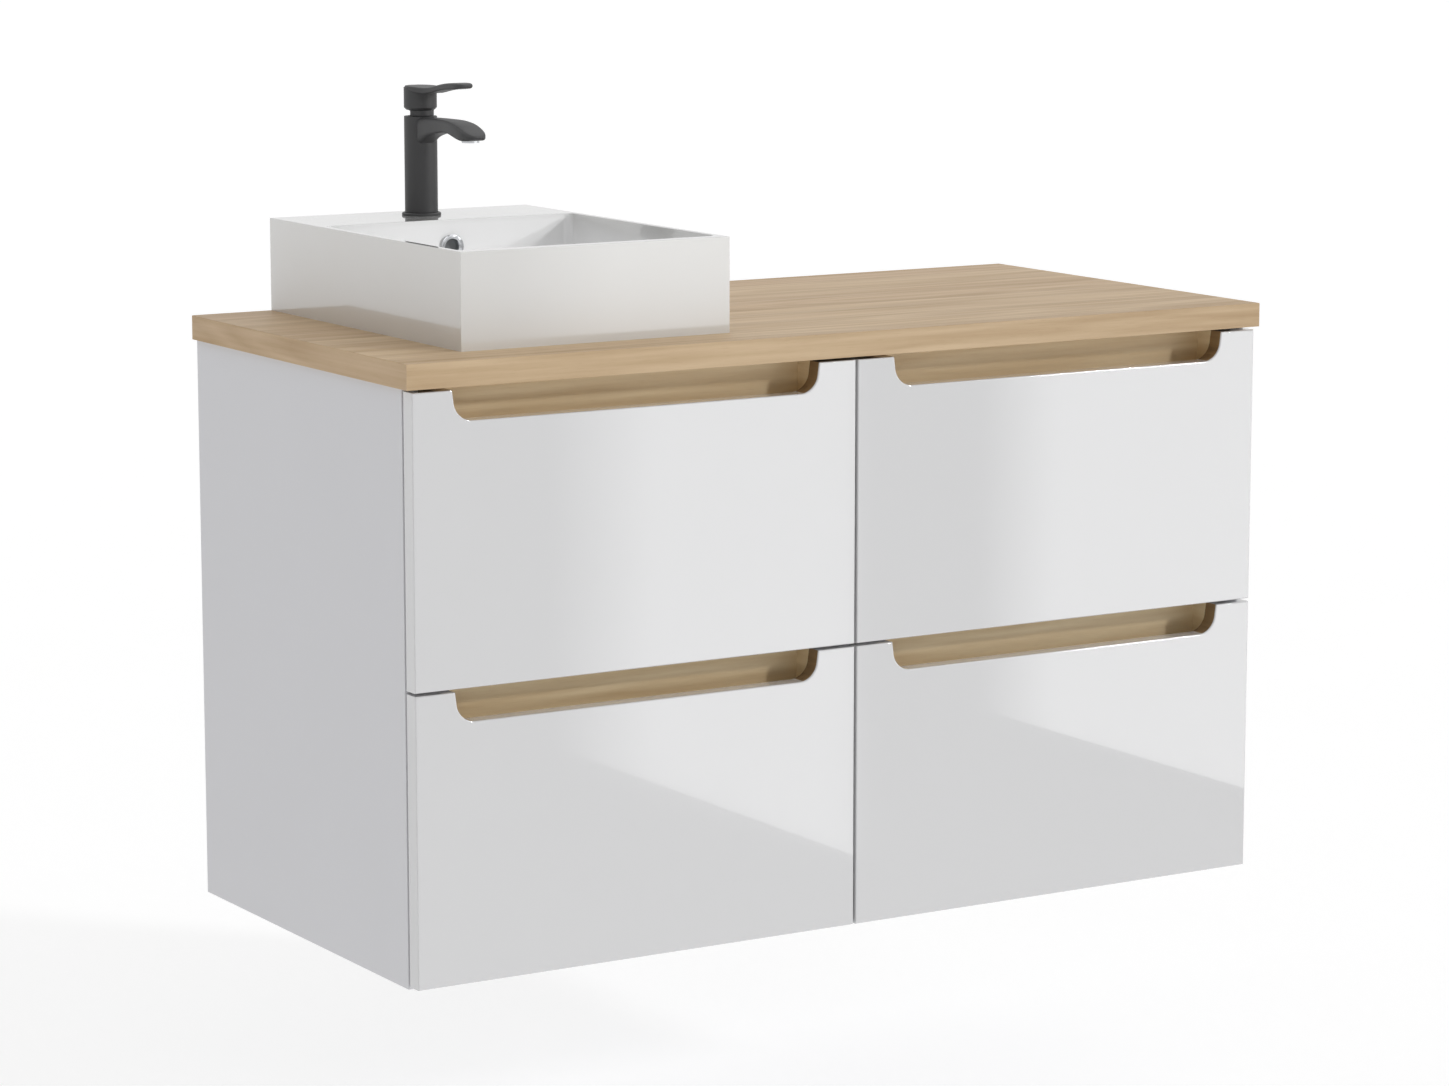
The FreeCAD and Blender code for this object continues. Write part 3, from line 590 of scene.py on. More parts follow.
TAP_COAT = PowderCoat("matt_anthracite", Slot.TAP, shade(58, 58, 59), 0.46)


def sharp_edges(shape: bmesh.types.BMesh, angle: float) -> list[bmesh.types.BMEdge]:
    """The edges at which two faces meet at more than an angle, in radians."""
    return [edge for edge in shape.edges if edge.is_manifold and edge.calc_face_angle() > angle]


def soften(shape: bmesh.types.BMesh, edges: Iterable, radius: float, segments: int = 3) -> None:
    """Round edges.

    Args:
        shape: The mesh that is changed.
        edges: The edges to round.
        radius: How far the rounding reaches from each edge.
        segments: Faces across the rounding.
    """
    bmesh.ops.bevel(shape, geom=list(edges), offset=radius, offset_type="OFFSET", segments=segments,
                    profile=0.5, affect="EDGES", clamp_overlap=True, material=-1)


def block(low: Vector, high: Vector) -> bmesh.types.BMesh:
    """A plain block.

    Args:
        low: Its lower corner.
        high: Its upper corner.

    Returns:
        The closed mesh, in its place.
    """
    shape = bmesh.new()
    place = Matrix.Translation((low + high) / 2) @ Matrix.Diagonal((*(high - low), 1.0))
    bmesh.ops.create_cube(shape, size=1.0, matrix=place)
    return shape


def written(shape: bmesh.types.BMesh, name: str) -> bpy.types.Mesh:
    """Write a bmesh out as a mesh, and free it.

    Args:
        shape: The bmesh.
        name: The mesh's name.

    Returns:
        The mesh.
    """
    mesh = bpy.data.meshes.new(name)
    shape.to_mesh(mesh)
    shape.free()
    return mesh


def linked(name: str, data: bpy.types.ID) -> bpy.types.Object:
    """Put a new object in the scene.

    Args:
        name: Its name.
        data: The mesh, lamp or camera that it shows.

    Returns:
        The object.
    """
    item = bpy.data.objects.new(name, data)
    bpy.context.scene.collection.objects.link(item)
    return item


def lathe(
    profile: Sequence[tuple[float, float]],
    centre: Vector,
    rounding: float = 0.0003,
    axis: Axis = Axis.UP,
    steps: int = 72,
) -> bmesh.types.BMesh:
    """A turned piece.

    Args:
        profile: Corners as radius and height, in order. An outline that closes repeats its first.
        centre: Where the axis meets height zero.
        rounding: Radius on every sharp corner.
        axis: Which way the height points.
        steps: Facets round the piece.

    Returns:
        The closed mesh, in its place.
    """
    shape = bmesh.new()
    closed = profile[0] == profile[-1]
    outline = profile[:-1] if closed else profile
    corners = [shape.verts.new((radius, 0, height)) for radius, height in outline]
    pairs = list(zip(corners, corners[1:])) + ([(corners[-1], corners[0])] if closed else [])
    edges = [shape.edges.new(pair) for pair in pairs]
    bmesh.ops.spin(shape, geom=corners + edges, cent=(0, 0, 0), axis=(0, 0, 1), angle=2 * math.pi,
                   steps=steps, use_merge=True)
    bmesh.ops.remove_doubles(shape, verts=shape.verts[:], dist=0.1 * MERGE_DISTANCE)
    bmesh.ops.recalc_face_normals(shape, faces=shape.faces[:])
    if rounding:
        soften(shape, sharp_edges(shape, TURNED_ANGLE), rounding)
    bmesh.ops.transform(shape, matrix=Matrix.Translation(centre) @ axis.turn(), verts=shape.verts[:])
    return shape


def round_part(node: str, axis: Axis = Axis.UP) -> tuple[Vector, float, float]:
    """The measures of a round node.

    Args:
        node: The node.
        axis: Which way it points.

    Returns:
        Where it starts on its axis, its radius and its length.
    """
    low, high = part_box(node)
    middle, radius = (low + high) / 2, (high.x - low.x) / 2
    if axis is Axis.UP:
        return Vector((middle.x, middle.y, low.z)), radius, high.z - low.z
    return Vector((middle.x, low.y, middle.z)), radius, high.y - low.y


def rib(shape: bmesh.types.BMesh, centre: Vector, axis: Axis, radius: float, height: float) -> None:
    """Raise every second facet of a turned piece's outer wall as a grip rib.

    Args:
        shape: The turned mesh.
        centre: A point on its axis.
        axis: Which way the axis points.
        radius: The wall's radius.
        height: How far the ribs stand out.
    """
    near, facing, whole, taper = 0.02, 0.99, 0.6, 0.9
    pointing = axis.turn() @ Vector((0, 0, 1))
    walls = []
    for face in shape.faces:
        out = face.calc_center_median() - centre
        out -= pointing * out.dot(pointing)
        if abs(out.length - radius) < near * radius and face.normal.dot(out.normalized()) > facing:
            walls.append((face, out.normalized()))
    longest = max(face.calc_area() for face, _ in walls)
    across = pointing.orthogonal().normalized()
    walls = [(face, out) for face, out in walls if face.calc_area() > whole * longest]
    walls.sort(key=lambda wall: math.atan2(wall[1].dot(pointing.cross(across)), wall[1].dot(across)))
    for face, out in walls[::2]:
        made = bmesh.ops.extrude_discrete_faces(shape, faces=[face])["faces"]
        corners = list({corner for side in made for corner in side.verts})
        bmesh.ops.translate(shape, verts=corners, vec=out * height)
        bmesh.ops.scale(shape, vec=(taper, taper, taper), verts=corners,
                        space=Matrix.Translation(-made[0].calc_center_median()))


@dataclass(frozen=True)
class Section:
    """A rounded rectangle across a bar that runs towards the front, in millimetres.

    The corner is a share of the smaller side.
    """

    reach: float
    width: float
    top: float
    bottom: float
    corner: float


def loft(sections: Sequence[Section], root: Vector) -> bmesh.types.BMesh:
    """A bar through sections, one behind the other along -Y.

    Args:
        sections: The sections, from the root.
        root: Where reach, top and bottom are zero, in the bar's middle plane.

    Returns:
        The closed mesh.
    """
    shape = bmesh.new()
    rings = []
    for section in sections:
        width = MILLIMETRE * section.width
        height = MILLIMETRE * (section.top - section.bottom)
        corners = [shape.verts.new((side * width / 2, 0, lift * height / 2))
                   for side, lift in ((-1, -1), (1, -1), (1, 1), (-1, 1))]
        shape.faces.new(corners)
        known = set(shape.verts) - set(corners)
        bmesh.ops.bevel(shape, geom=corners, offset=section.corner * min(width, height),
                        offset_type="OFFSET", segments=4, profile=0.5, affect="VERTICES", material=-1)
        ring = [corner for corner in shape.verts if corner not in known]
        place = root + MILLIMETRE * Vector((0, -section.reach, (section.top + section.bottom) / 2))
        bmesh.ops.translate(shape, verts=ring, vec=place)
        rings.append(next(face for face in shape.faces if ring[0] in face.verts))
    loops = [list(face.edges) for face in rings]
    bmesh.ops.delete(shape, geom=rings[1:-1], context="FACES_ONLY")
    for loop, following in zip(loops, loops[1:]):
        bmesh.ops.bridge_loops(shape, edges=loop + following)
    bmesh.ops.recalc_face_normals(shape, faces=shape.faces[:])
    return shape


class Workshop:
    """Turns meshes into finished pieces that ride on their bodies."""

    @staticmethod
    def body_of(node: str) -> str:
        """The body that carries a node."""
        bodies = frame["record"]["behaviour"]["bodies"]
        return next(body for body, members in bodies.items() if node in members)

    @staticmethod
    def mesh_of(shape: bmesh.types.BMesh, name: str, smooth_angle: float) -> bpy.types.Mesh:
        """Write a bmesh out as a mesh with smooth faces.

        Args:
            shape: The bmesh, which is freed.
            name: The mesh's name.
            smooth_angle: Edges sharper than this stay sharp.

        Returns:
            The mesh.
        """
        for face in shape.faces:
            face.smooth = True
        mesh = written(shape, name)
        mesh.set_sharp_from_angle(angle=smooth_angle)
        return mesh

    @classmethod
    def piece(
        cls,
        shape: bmesh.types.BMesh | bpy.types.Mesh,
        node: str,
        finish: Finish,
        name: str | None = None,
        stands_for: bool = True,
        subdivide: int = 0,
    ) -> bpy.types.Object:
        """Finish a mesh as a piece of the object.

        Args:
            shape: Its mesh, in place.
            node: The node whose body it rides on.
            finish: Its main finish.
            name: The piece's name, where it isn't the node's with _look.
            stands_for: Whether the piece replaces the node.
            subdivide: Levels of Subdivision Surface.

        Returns:
            The piece.
        """
        title = name or f"{node}_look"
        mesh = shape if isinstance(shape, bpy.types.Mesh) else cls.mesh_of(shape, title, SMOOTH_ANGLE)
        item = linked(title, mesh)
        mesh.materials.clear()
        mesh.materials.append(finish.material())
        if subdivide:
            levels = item.modifiers.new("smooth", "SUBSURF")
            levels.levels = levels.render_levels = subdivide
        else:
            even = item.modifiers.new("even", "WEIGHTED_NORMAL")
            even.keep_sharp = True
        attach(item, cls.body_of(node))
        if stands_for:
            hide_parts(node)
        log.info("%s: %d faces", title, len(mesh.polygons))
        return item

    @staticmethod
    def merged_copy(node: str) -> bmesh.types.BMesh:
        """A copy of a node's mesh with its triangles merged into whole faces.

        Args:
            node: The node.

        Returns:
            The copy.
        """
        shape = bmesh.new()
        shape.from_mesh(frame["nodes"][node].data)
        bmesh.ops.remove_doubles(shape, verts=shape.verts[:], dist=MERGE_DISTANCE)
        bmesh.ops.dissolve_limit(shape, angle_limit=math.radians(1), verts=shape.verts[:],
                                 edges=shape.edges[:], delimit={"NORMAL"})
        return shape

    @classmethod
    def rounded(cls, node: str, finish: Finish, radius: float) -> None:
        """Finish a copy of a node with every sharp edge broken.

        Args:
            node: The node that the copy stands for.
            finish: Its finish.
            radius: Rounding of the sharp edges.
        """
        shape = cls.merged_copy(node)
        soften(shape, sharp_edges(shape, BROKEN_ANGLE), radius, 2)
        cls.piece(shape, node, finish)

    @staticmethod
    def carved(shape: bmesh.types.BMesh, cutters: Sequence[bmesh.types.BMesh], name: str) -> bpy.types.Mesh:
        """A mesh less each cutter.

        Args:
            shape: The mesh to cut.
            cutters: Closed meshes.
            name: A name for the result.

        Returns:
            The cut mesh.
        """
        helpers = []
        for count, bm in enumerate((shape, *cutters)):
            helpers.append(linked(f"{name}_{count}", Workshop.mesh_of(bm, name, math.pi)))
        for cutter in helpers[1:]:
            cut = helpers[0].modifiers.new("cut", "BOOLEAN")
            cut.operation, cut.solver, cut.object = "DIFFERENCE", "EXACT", cutter
        bpy.context.view_layer.update()
        solid = helpers[0].evaluated_get(bpy.context.evaluated_depsgraph_get())
        made = bpy.data.meshes.new_from_object(solid)
        for helper in helpers:
            bpy.data.objects.remove(helper)
        made.set_sharp_from_angle(angle=SMOOTH_ANGLE)
        return made


@dataclass(frozen=True)
class Carcass:
    """Boards of the cabinet, its brackets and the fixed runner members."""

    edge: float = 0.0006
    steel_edge: float = 0.0003

    def build(self) -> None:
        """Break the edges of the boards and of the steel."""
        boards = ("left_side_panel", "right_side_panel", "centre_divider", "bottom_panel",
                  "front_top_rail", "back_top_rail", "back_bottom_rail")
        for board in boards:
            Workshop.rounded(board, SIDE_BOARD, self.edge)
        for steel in ("wall_hangers", "runner_rails"):
            Workshop.rounded(steel, ZINC, self.steel_edge)


class Worktop:
    """The oak top, whose upper edges are rounded already."""

    def build(self) -> None:
        """Copy the top with whole faces, and dress it in staves."""
        Workshop.piece(Workshop.merged_copy("worktop"), "worktop", WORKTOP_OAK)


@dataclass(frozen=True)
class Drawer:
    """One drawer: gloss front with a finger notch, oak grip channel, box and slides."""

    name: str
    notch_margin: float = 0.043
    notch_drop: float = 0.030
    notch_slant: float = 0.004
    notch_radius: float = 0.020
    edge: float = 0.0015
    board_edge: float = 0.0005

    def build(self) -> None:
        """Build the front and break the edges of the rest."""
        node = f"{self.name}_front"
        front = Workshop.piece(self.front(node), node, LACQUER)
        self.line_notch(front.data, *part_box(node))
        # The grip channel's oak is brightened: painted light against the shade in its recess.
        Workshop.rounded(f"{self.name}_grip", CHANNEL_OAK_PAINTED_LIGHT, self.board_edge)
        for side in ("left_side", "right_side"):
            Workshop.rounded(f"{self.name}_{side}", DRAWER_BOARD, self.board_edge)
        for board in ("bottom", "back"):
            Workshop.rounded(f"{self.name}_{board}", SIDE_BOARD, self.board_edge)
        Workshop.rounded(f"{self.name}_runner_slides", ZINC, self.board_edge)
        surround = f"{self.name}_trap_surround"
        if surround in frame["nodes"]:
            Workshop.rounded(surround, GREY_PLASTIC, self.board_edge)

    def line_notch(self, mesh: bpy.types.Mesh, low: Vector, high: Vector) -> None:
        """Give the notch's rounded ends the oak of its lining, darkened with painted shade.

        Args:
            mesh: The front's mesh.
            low: The front's lower corner.
            high: The front's upper corner.
        """
        # Darker oak on the notch's ends: their oak lining, with painted shade.
        mesh.materials.append(NOTCH_EDGE_OAK_PAINTED_SHADE.material())
        middle = (low.x + high.x) / 2
        reach = (high.x - low.x) / 2 - self.notch_margin + OVERSHOOT
        behind = low.y + 1.05 * self.edge
        foot, top = high.z - self.notch_drop - OVERSHOOT, high.z - OVERSHOOT
        for face in mesh.polygons:
            x, y, z = face.center
            if abs(x - middle) < reach and y > behind and foot < z < top and abs(face.normal.x) > 0.25:
                face.material_index = 1

    def front(self, node: str) -> bmesh.types.BMesh:
        """The front's plate with its notch, its outer edges rounded.

        Args:
            node: The front's node.

        Returns:
            The closed mesh.
        """
        low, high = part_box(node)
        floor = high.z - self.notch_drop
        inset = self.notch_margin + self.notch_slant
        outline = (
            (low.x, low.z), (high.x, low.z), (high.x, high.z), (high.x - self.notch_margin, high.z),
            (high.x - inset, floor), (low.x + inset, floor), (low.x + self.notch_margin, high.z),
            (low.x, high.z),
        )
        shape = bmesh.new()
        corners = [shape.verts.new((x, low.y, z)) for x, z in outline]
        shape.faces.new(corners)
        turn = math.pi / 2 + math.atan2(self.notch_slant, self.notch_drop)
        reach = self.notch_radius / math.tan(turn / 2)
        bmesh.ops.bevel(shape, geom=corners[4:6], offset=reach, offset_type="OFFSET", segments=14,
                        profile=0.5, affect="VERTICES", material=-1)
        made = bmesh.ops.extrude_face_region(shape, geom=shape.faces[:])["geom"]
        back = [item for item in made if isinstance(item, bmesh.types.BMVert)]
        bmesh.ops.translate(shape, verts=back, vec=(0, high.y - low.y, 0))
        bmesh.ops.recalc_face_normals(shape, faces=shape.faces[:])
        rim = [edge for edge in sharp_edges(shape, FRONT_RIM_ANGLE)
               if all(end.co.y < low.y + MERGE_DISTANCE for end in edge.verts)]
        soften(shape, rim, self.edge, 4)
        return shape


@dataclass(frozen=True)
class Basin:
    """The ceramic vessel with its overflow ring, waste and plug."""

    rim: float = 0.010
    front_rim: float = 0.014
    tap_deck: float = 0.112
    floor: float = 0.022
    slope: float = 0.012
    corner: float = 0.009
    floor_rounding: float = 0.020
    edge: float = 0.0026
    wall: float = 0.012
    back_wall: float = 0.028
    deck_thickness: float = 0.014
    floor_angle: float = 0.6
    rim_angle: float = 0.9
    waste_hole: float = 0.023
    tap_hole: float = 0.0175
    overflow_hole: float = 0.009
    overflow_depth: float = 0.030
    ring_flange: float = 0.0016
    ring_bore: float = 0.0078
    shade_depth: float = 0.009
    plug_dome: float = 0.0034
    plug_wall: float = 0.0016
    plug_stem: float = 0.005

    def build(self) -> None:
        """Build the vessel and the metal in it."""
        low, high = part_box("basin")
        vessel = Workshop.carved(self.vessel(low, high), self.openings(low, high), "vessel")
        Workshop.piece(vessel, "basin", CERAMIC)
        self.overflow()
        self.waste()

    def vessel(self, low: Vector, high: Vector) -> bmesh.types.BMesh:
        """The block with its bowl, all edges rounded.

        Args:
            low: The basin's lower corner.
            high: The basin's upper corner.

        Returns:
            The closed mesh, before its holes are cut.
        """
        shape = block(low, high)
        top = next(face for face in shape.faces if face.normal.z > 0.9)
        bmesh.ops.inset_individual(shape, faces=[top], thickness=self.rim)
        middle = (low.x + high.x) / 2
        for corner in top.verts:
            back = corner.co.y > (low.y + high.y) / 2
            corner.co.y = high.y - self.tap_deck if back else low.y + self.front_rim
        made = bmesh.ops.extrude_face_region(shape, geom=[top])["geom"]
        bed = next(item for item in made if isinstance(item, bmesh.types.BMFace))
        if top.is_valid:
            bmesh.ops.delete(shape, geom=[top], context="FACES_ONLY")
        centre_y = (high.y - self.tap_deck + low.y + self.front_rim) / 2
        for corner in bed.verts:
            corner.co.z = low.z + self.floor
            corner.co.x -= math.copysign(self.slope, corner.co.x - middle)
            corner.co.y -= math.copysign(self.slope, corner.co.y - centre_y)
        bmesh.ops.recalc_face_normals(shape, faces=shape.faces[:])
        inside = set(bed.verts)
        uprights = [edge for edge in shape.edges if len(inside & set(edge.verts)) == 1]
        soften(shape, uprights, self.corner, 8)
        low_edges = [edge for edge in sharp_edges(shape, self.floor_angle)
                     if all(abs(end.co.z - low.z - self.floor) < 1e-5 for end in edge.verts)]
        soften(shape, low_edges, self.floor_rounding, 10)
        rims = [edge for edge in sharp_edges(shape, self.rim_angle)
                if max(end.co.z for end in edge.verts) > high.z - 1e-5]
        soften(shape, rims, self.edge, 5)
        return shape

    def openings(self, low: Vector, high: Vector) -> list[bmesh.types.BMesh]:
        """Cutters for the waste, the overflow, the tap's hole and the hollow under the deck.

        Args:
            low: The basin's lower corner.
            high: The basin's upper corner.

        Returns:
            The cutters.
        """
        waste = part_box("waste_body")
        axis = (waste[0] + waste[1]) / 2
        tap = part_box("tap_body")
        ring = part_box("overflow_ring")
        tap_y = tap[1].y - Tap.body_radius
        through = high.z - low.z
        hollow_low = Vector((low.x + self.wall, high.y - self.tap_deck + self.back_wall,
                             low.z - 2 * OVERSHOOT))
        hollow_high = Vector((high.x - self.wall, high.y - self.wall, high.z - self.deck_thickness))

        def drill(radius: float, length: float, x: float, y: float, z: float, way: Axis) -> bmesh.types.BMesh:
            """A round cutter.

            Args:
                radius: Its radius.
                length: Its length.
                x: Where it starts, across.
                y: Where it starts, towards the wall.
                z: Where it starts, in height.
                way: Which way it runs.

            Returns:
                The closed mesh, in its place.
            """
            profile = ((0, 0), (radius, 0), (radius, length), (0, length))
            return lathe(profile, Vector((x, y, z)), 0, way)

        ring_y, ring_z = ring[0].y - OVERSHOOT, (ring[0].z + ring[1].z) / 2
        return [
            drill(self.waste_hole, through, axis.x, axis.y, low.z - OVERSHOOT, Axis.UP),
            drill(self.tap_hole, through, axis.x, tap_y, high.z - 0.5 * through, Axis.UP),
            drill(self.overflow_hole, self.overflow_depth, axis.x, ring_y, ring_z, Axis.TO_WALL),
            block(hollow_low, hollow_high),
        ]

    def overflow(self) -> None:
        """The chrome ring in the overflow, with its funnel, and the shade behind it."""
        centre, radius, depth = round_part("overflow_ring", Axis.TO_WALL)
        bore, flange, seat = self.ring_bore, self.ring_flange, self.overflow_hole - 0.00005
        profile = (
            (bore, depth), (bore, 0.0022), (bore + 0.0008, 0.0010), (bore + 0.0026, 0.0),
            (radius - 0.0006, 0.0004), (radius, 0.0010), (radius, flange), (seat, flange),
            (seat, depth), (bore, depth),
        )
        Workshop.piece(lathe(profile, centre, 0.00015, Axis.TO_WALL), "overflow_ring", CHROME)
        plate = ((0, 0), (bore, 0), (bore, 0.001), (0, 0.001))
        back = lathe(plate, centre + Vector((0, self.shade_depth, 0)), 0.0, Axis.TO_WALL, 40)
        Workshop.piece(back, "overflow_ring", GREY_PLASTIC, "overflow_shade", False)

    def waste(self) -> None:
        """The click plug as a low dome, and the body and nut below it."""
        low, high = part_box("waste_plug")
        radius = (high.x - low.x) / 2
        flat = high.z - self.plug_dome - self.plug_wall
        lip = flat + self.plug_wall / 2
        stem = self.plug_stem
        dome = [(radius * math.cos(turn), flat + self.plug_wall + self.plug_dome * math.sin(turn))
                for turn in (math.pi / 2 * step / 12 for step in range(13))]
        profile = [
            (0, low.z), (stem, low.z), (stem, flat), (radius - 0.004, flat), (radius - 0.0035, lip),
            (radius, lip), *dome[:-1], (0, high.z),
        ]
        centre = Vector(((low.x + high.x) / 2, (low.y + high.y) / 2, 0))
        Workshop.piece(lathe(profile, centre, 0.0), "waste_plug", CHROME)
        Workshop.rounded("waste_body", CHROME, 0.0003)
        Workshop.rounded("waste_locknut", BRASS, 0.0006)


@dataclass(frozen=True)
class Trap:
    """The bottle trap: ribbed nuts, bottle, cup and outlet pipe."""

    rib: float = 0.0012
    inlet_bore: float = 0.02205
    outlet_bore: float = 0.02005
    bottle_edge: float = 0.0006
    cup_wall: float = 0.0025
    cup_chamfer: float = 0.004
    pipe_wall: float = 0.0015

    def build(self) -> None:
        """Build the nuts, the bottle, the cup and the pipe."""
        self.nut("trap_inlet_nut", Axis.UP, self.inlet_bore)
        self.nut("trap_outlet_nut", Axis.TO_WALL, self.outlet_bore)
        Workshop.rounded("trap_bottle", WHITE_PLASTIC, self.bottle_edge)
        self.cup()
        self.pipe()

    def cup(self) -> None:
        """The cup that unscrews from the bottle, with grip ribs."""
        centre, collar, height = round_part("trap_cup")
        wall, chamfer, radius = self.cup_wall, self.cup_chamfer, collar - self.rib
        profile = (
            (0, 0), (radius - chamfer, 0), (radius, chamfer), (radius, height - 0.006),
            (collar, height - 0.004), (collar, height), (collar - wall, height),
            (collar - wall, wall + chamfer), (0, wall),
        )
        shape = lathe(profile, centre, 0.0005, steps=48)
        rib(shape, centre, Axis.UP, radius, self.rib)
        Workshop.piece(shape, "trap_cup", WHITE_PLASTIC)

    def pipe(self) -> None:
        """The straight pipe to the wall."""
        centre, outer, length = round_part("trap_outlet_pipe", Axis.TO_WALL)
        inner = outer - self.pipe_wall
        profile = ((inner, 0), (outer, 0), (outer, length), (inner, length), (inner, 0))
        pipe = lathe(profile, centre, 0.0004, Axis.TO_WALL)
        Workshop.piece(pipe, "trap_outlet_pipe", WHITE_PLASTIC)

    def nut(self, node: str, axis: Axis, bore: float) -> None:
        """A union nut with grip ribs.

        Args:
            node: The nut's node.
            axis: Which way it points.
            bore: Radius of its bore.
        """
        centre, collar, length = round_part(node, axis)
        radius = collar - self.rib
        profile = (
            (bore, 0), (radius, 0), (radius, length - 0.004), (collar, length - 0.003), (collar, length),
            (bore, length), (bore, 0),
        )
        shape = lathe(profile, centre, 0.0004, axis, 40)
        rib(shape, centre, axis, radius, self.rib)
        Workshop.piece(shape, node, WHITE_PLASTIC)


@dataclass(frozen=True)
class Tap:
    """The single-lever mixer and what fastens it to the basin."""

    body_radius: float = 0.0172
    body_bore: float = 0.0125
    bore_depth: float = 0.030
    ring_bore: float = 0.010
    ring_chamfer: Sequence[float] = (0.0012, 0.0008)
    cap_gap: float = 0.0065
    cap_height: float = 0.025
    cap_chamfer: float = 0.0025
    cap_room: float = 0.0105
    cap_room_height: float = 0.015
    skirt_drop: float = 0.002
    skirt_radius: float = 0.0125
    skirt_foot: float = 0.0102
    skirt_bore: float = 0.0092
    blade_sink: float = 0.0015
    index_radius: float = 0.0024
    index_dish: float = 0.0014
    index_dish_depth: float = 0.0003
    index_thickness: float = 0.0018
    mark_drop: float = 0.0054
    mark_share: float = 0.75
    neck_radius: float = 0.014
    neck_wall: float = 0.0012
    neck_bore: float = 0.0042
    facets: int = 96
    edge: float = 0.0004
    fine_edge: float = 0.0001
    stud_pitch: float = 0.00125

    @property
    def axis(self) -> Vector:
        """The upright axis of the tap, at height zero."""
        low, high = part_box("tap_base_ring")
        return Vector(((low.x + high.x) / 2, (low.y + high.y) / 2, 0))

    def build(self) -> None:
        """Build the tap from the deck up, and then its fixings."""
        self.ring()
        self.body()
        self.outlet()
        self.lever()
        self.fixings()

    def ring(self) -> None:
        """The thin flange under the body."""
        low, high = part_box("tap_base_ring")
        radius = (high.x - low.x) / 2
        bore = self.ring_bore
        inwards, downwards = self.ring_chamfer
        profile = (
            (bore, low.z), (radius, low.z), (radius, high.z - downwards), (radius - inwards, high.z),
            (bore, high.z), (bore, low.z),
        )
        Workshop.piece(lathe(profile, self.axis, 0.00025), "tap_base_ring", TAP_COAT)

    def body(self) -> None:
        """The column with its spout, which flows out of the column's top."""
        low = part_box("tap_base_ring")[1].z
        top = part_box("tap_collar")[0].z
        bore, bed = self.body_bore, top - self.bore_depth
        profile = (
            (0.0, low), (self.body_radius, low), (self.body_radius, top), (bore, top), (bore, bed),
            (0.0, bed),
        )
        column = lathe(profile, self.axis, 0.0005, steps=self.facets)
        Workshop.piece(column, "tap_body", TAP_COAT)
        sections = (
            Section(5, 20, -1.0, -27, 0.30),
            Section(13, 24, -0.4, -30, 0.30),
            Section(20, 24, -0.3, -25, 0.30),
            Section(28, 23, -0.2, -20.5, 0.28),
            Section(42, 22.5, 0, -16.5, 0.26),
            Section(60, 23, 0, -13.5, 0.24),
            Section(76, 25, 0, -12.5, 0.24),
            Section(89, 27.5, -1.4, -14.8, 0.24),
            Section(100, 28.6, -3.2, -17.6, 0.24),
            Section(111, 28.6, -6.8, -19.5, 0.28),
            Section(119.5, 25.5, -9.8, -18.8, 0.36),
            Section(125, 18, -12.2, -17.4, 0.42),
            Section(127.6, 9, -13.6, -16.0, 0.46),
        )
        spout = loft(sections, self.axis + Vector((0, 0, top)))
        Workshop.piece(spout, "tap_body", TAP_COAT, "tap_spout_look", False, 2)

    def outlet(self) -> None:
        """The aerator with its cells, under the spout's tip."""
        centre, radius, height = round_part("tap_aerator")
        wall, recess, cell_wall, cell_depth = 0.0022, 0.0012, 0.0004, 0.0014
        profile = (
            (0, recess), (radius - wall, recess), (radius - wall, 0), (radius, 0), (radius, height),
            (0, height),
        )
        shape = lathe(profile, centre, 0.00015, steps=24)
        cells = [face for face in shape.faces
                 if face.normal.z < -0.9 and face.calc_center_median().z > centre.z + OVERSHOOT]
        bmesh.ops.inset_individual(shape, faces=cells, thickness=cell_wall)
        inner = list({end for face in cells for end in face.verts})
        bmesh.ops.translate(shape, verts=inner, vec=(0, 0, cell_depth))
        Workshop.piece(shape, "tap_aerator", INSERT)

    def lever(self) -> None:
        """The cap with its wavy lever, the index marks, the stem and the cartridge under them."""
        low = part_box("tap_collar")[0].z + self.cap_gap
        top = low + self.cap_height
        radius, chamfer, room, bore = self.body_radius, self.cap_chamfer, self.cap_room, self.skirt_bore
        seat, foot, ceiling = top - self.blade_sink, low - self.skirt_drop, low + self.cap_room_height
        profile = (
            (0, seat), (radius, seat), (radius, low + chamfer), (radius - chamfer, low),
            (self.skirt_radius, low), (self.skirt_foot, foot), (bore, foot), (bore, low), (room, low),
            (room, ceiling), (0, ceiling),
        )
        Workshop.piece(lathe(profile, self.axis, self.edge, steps=self.facets), "tap_lever", TAP_COAT)
        sections = (
            Section(-16.6, 8, 0, -3.0, 0.3),
            Section(-15, 16, 0, -3.2, 0.3),
            Section(-9.5, 28, 0, -3.4, 0.3),
            Section(0, 34, 0, -3.8, 0.3),
            Section(9.5, 32.5, -0.1, -5.0, 0.3),
            Section(19, 27, -0.6, -7.0, 0.32),
            Section(30, 22.5, -0.6, -6.8, 0.34),
            Section(42, 20.5, 0.8, -5.0, 0.36),
            Section(55, 20.5, 3.6, -2.6, 0.38),
            Section(70, 21.5, 6.0, -0.6, 0.40),
            Section(84, 22, 7.2, 0.2, 0.42),
            Section(95, 21, 7.3, 1.2, 0.42),
            Section(101, 16.5, 6.8, 2.4, 0.44),
            Section(103, 9, 6.0, 3.2, 0.45),
        )
        blade = loft(sections, self.axis + Vector((0, 0, top)))
        Workshop.piece(blade, "tap_lever", TAP_COAT, "tap_blade_look", False, 2)
        self.index()
        Workshop.rounded("tap_collar", TAP_COAT, self.fine_edge)
        Workshop.rounded("tap_spindle", TAP_COAT, 0.0003)
        self.neck(low)
        Workshop.rounded("tap_cartridge", GREY_PLASTIC, self.edge)

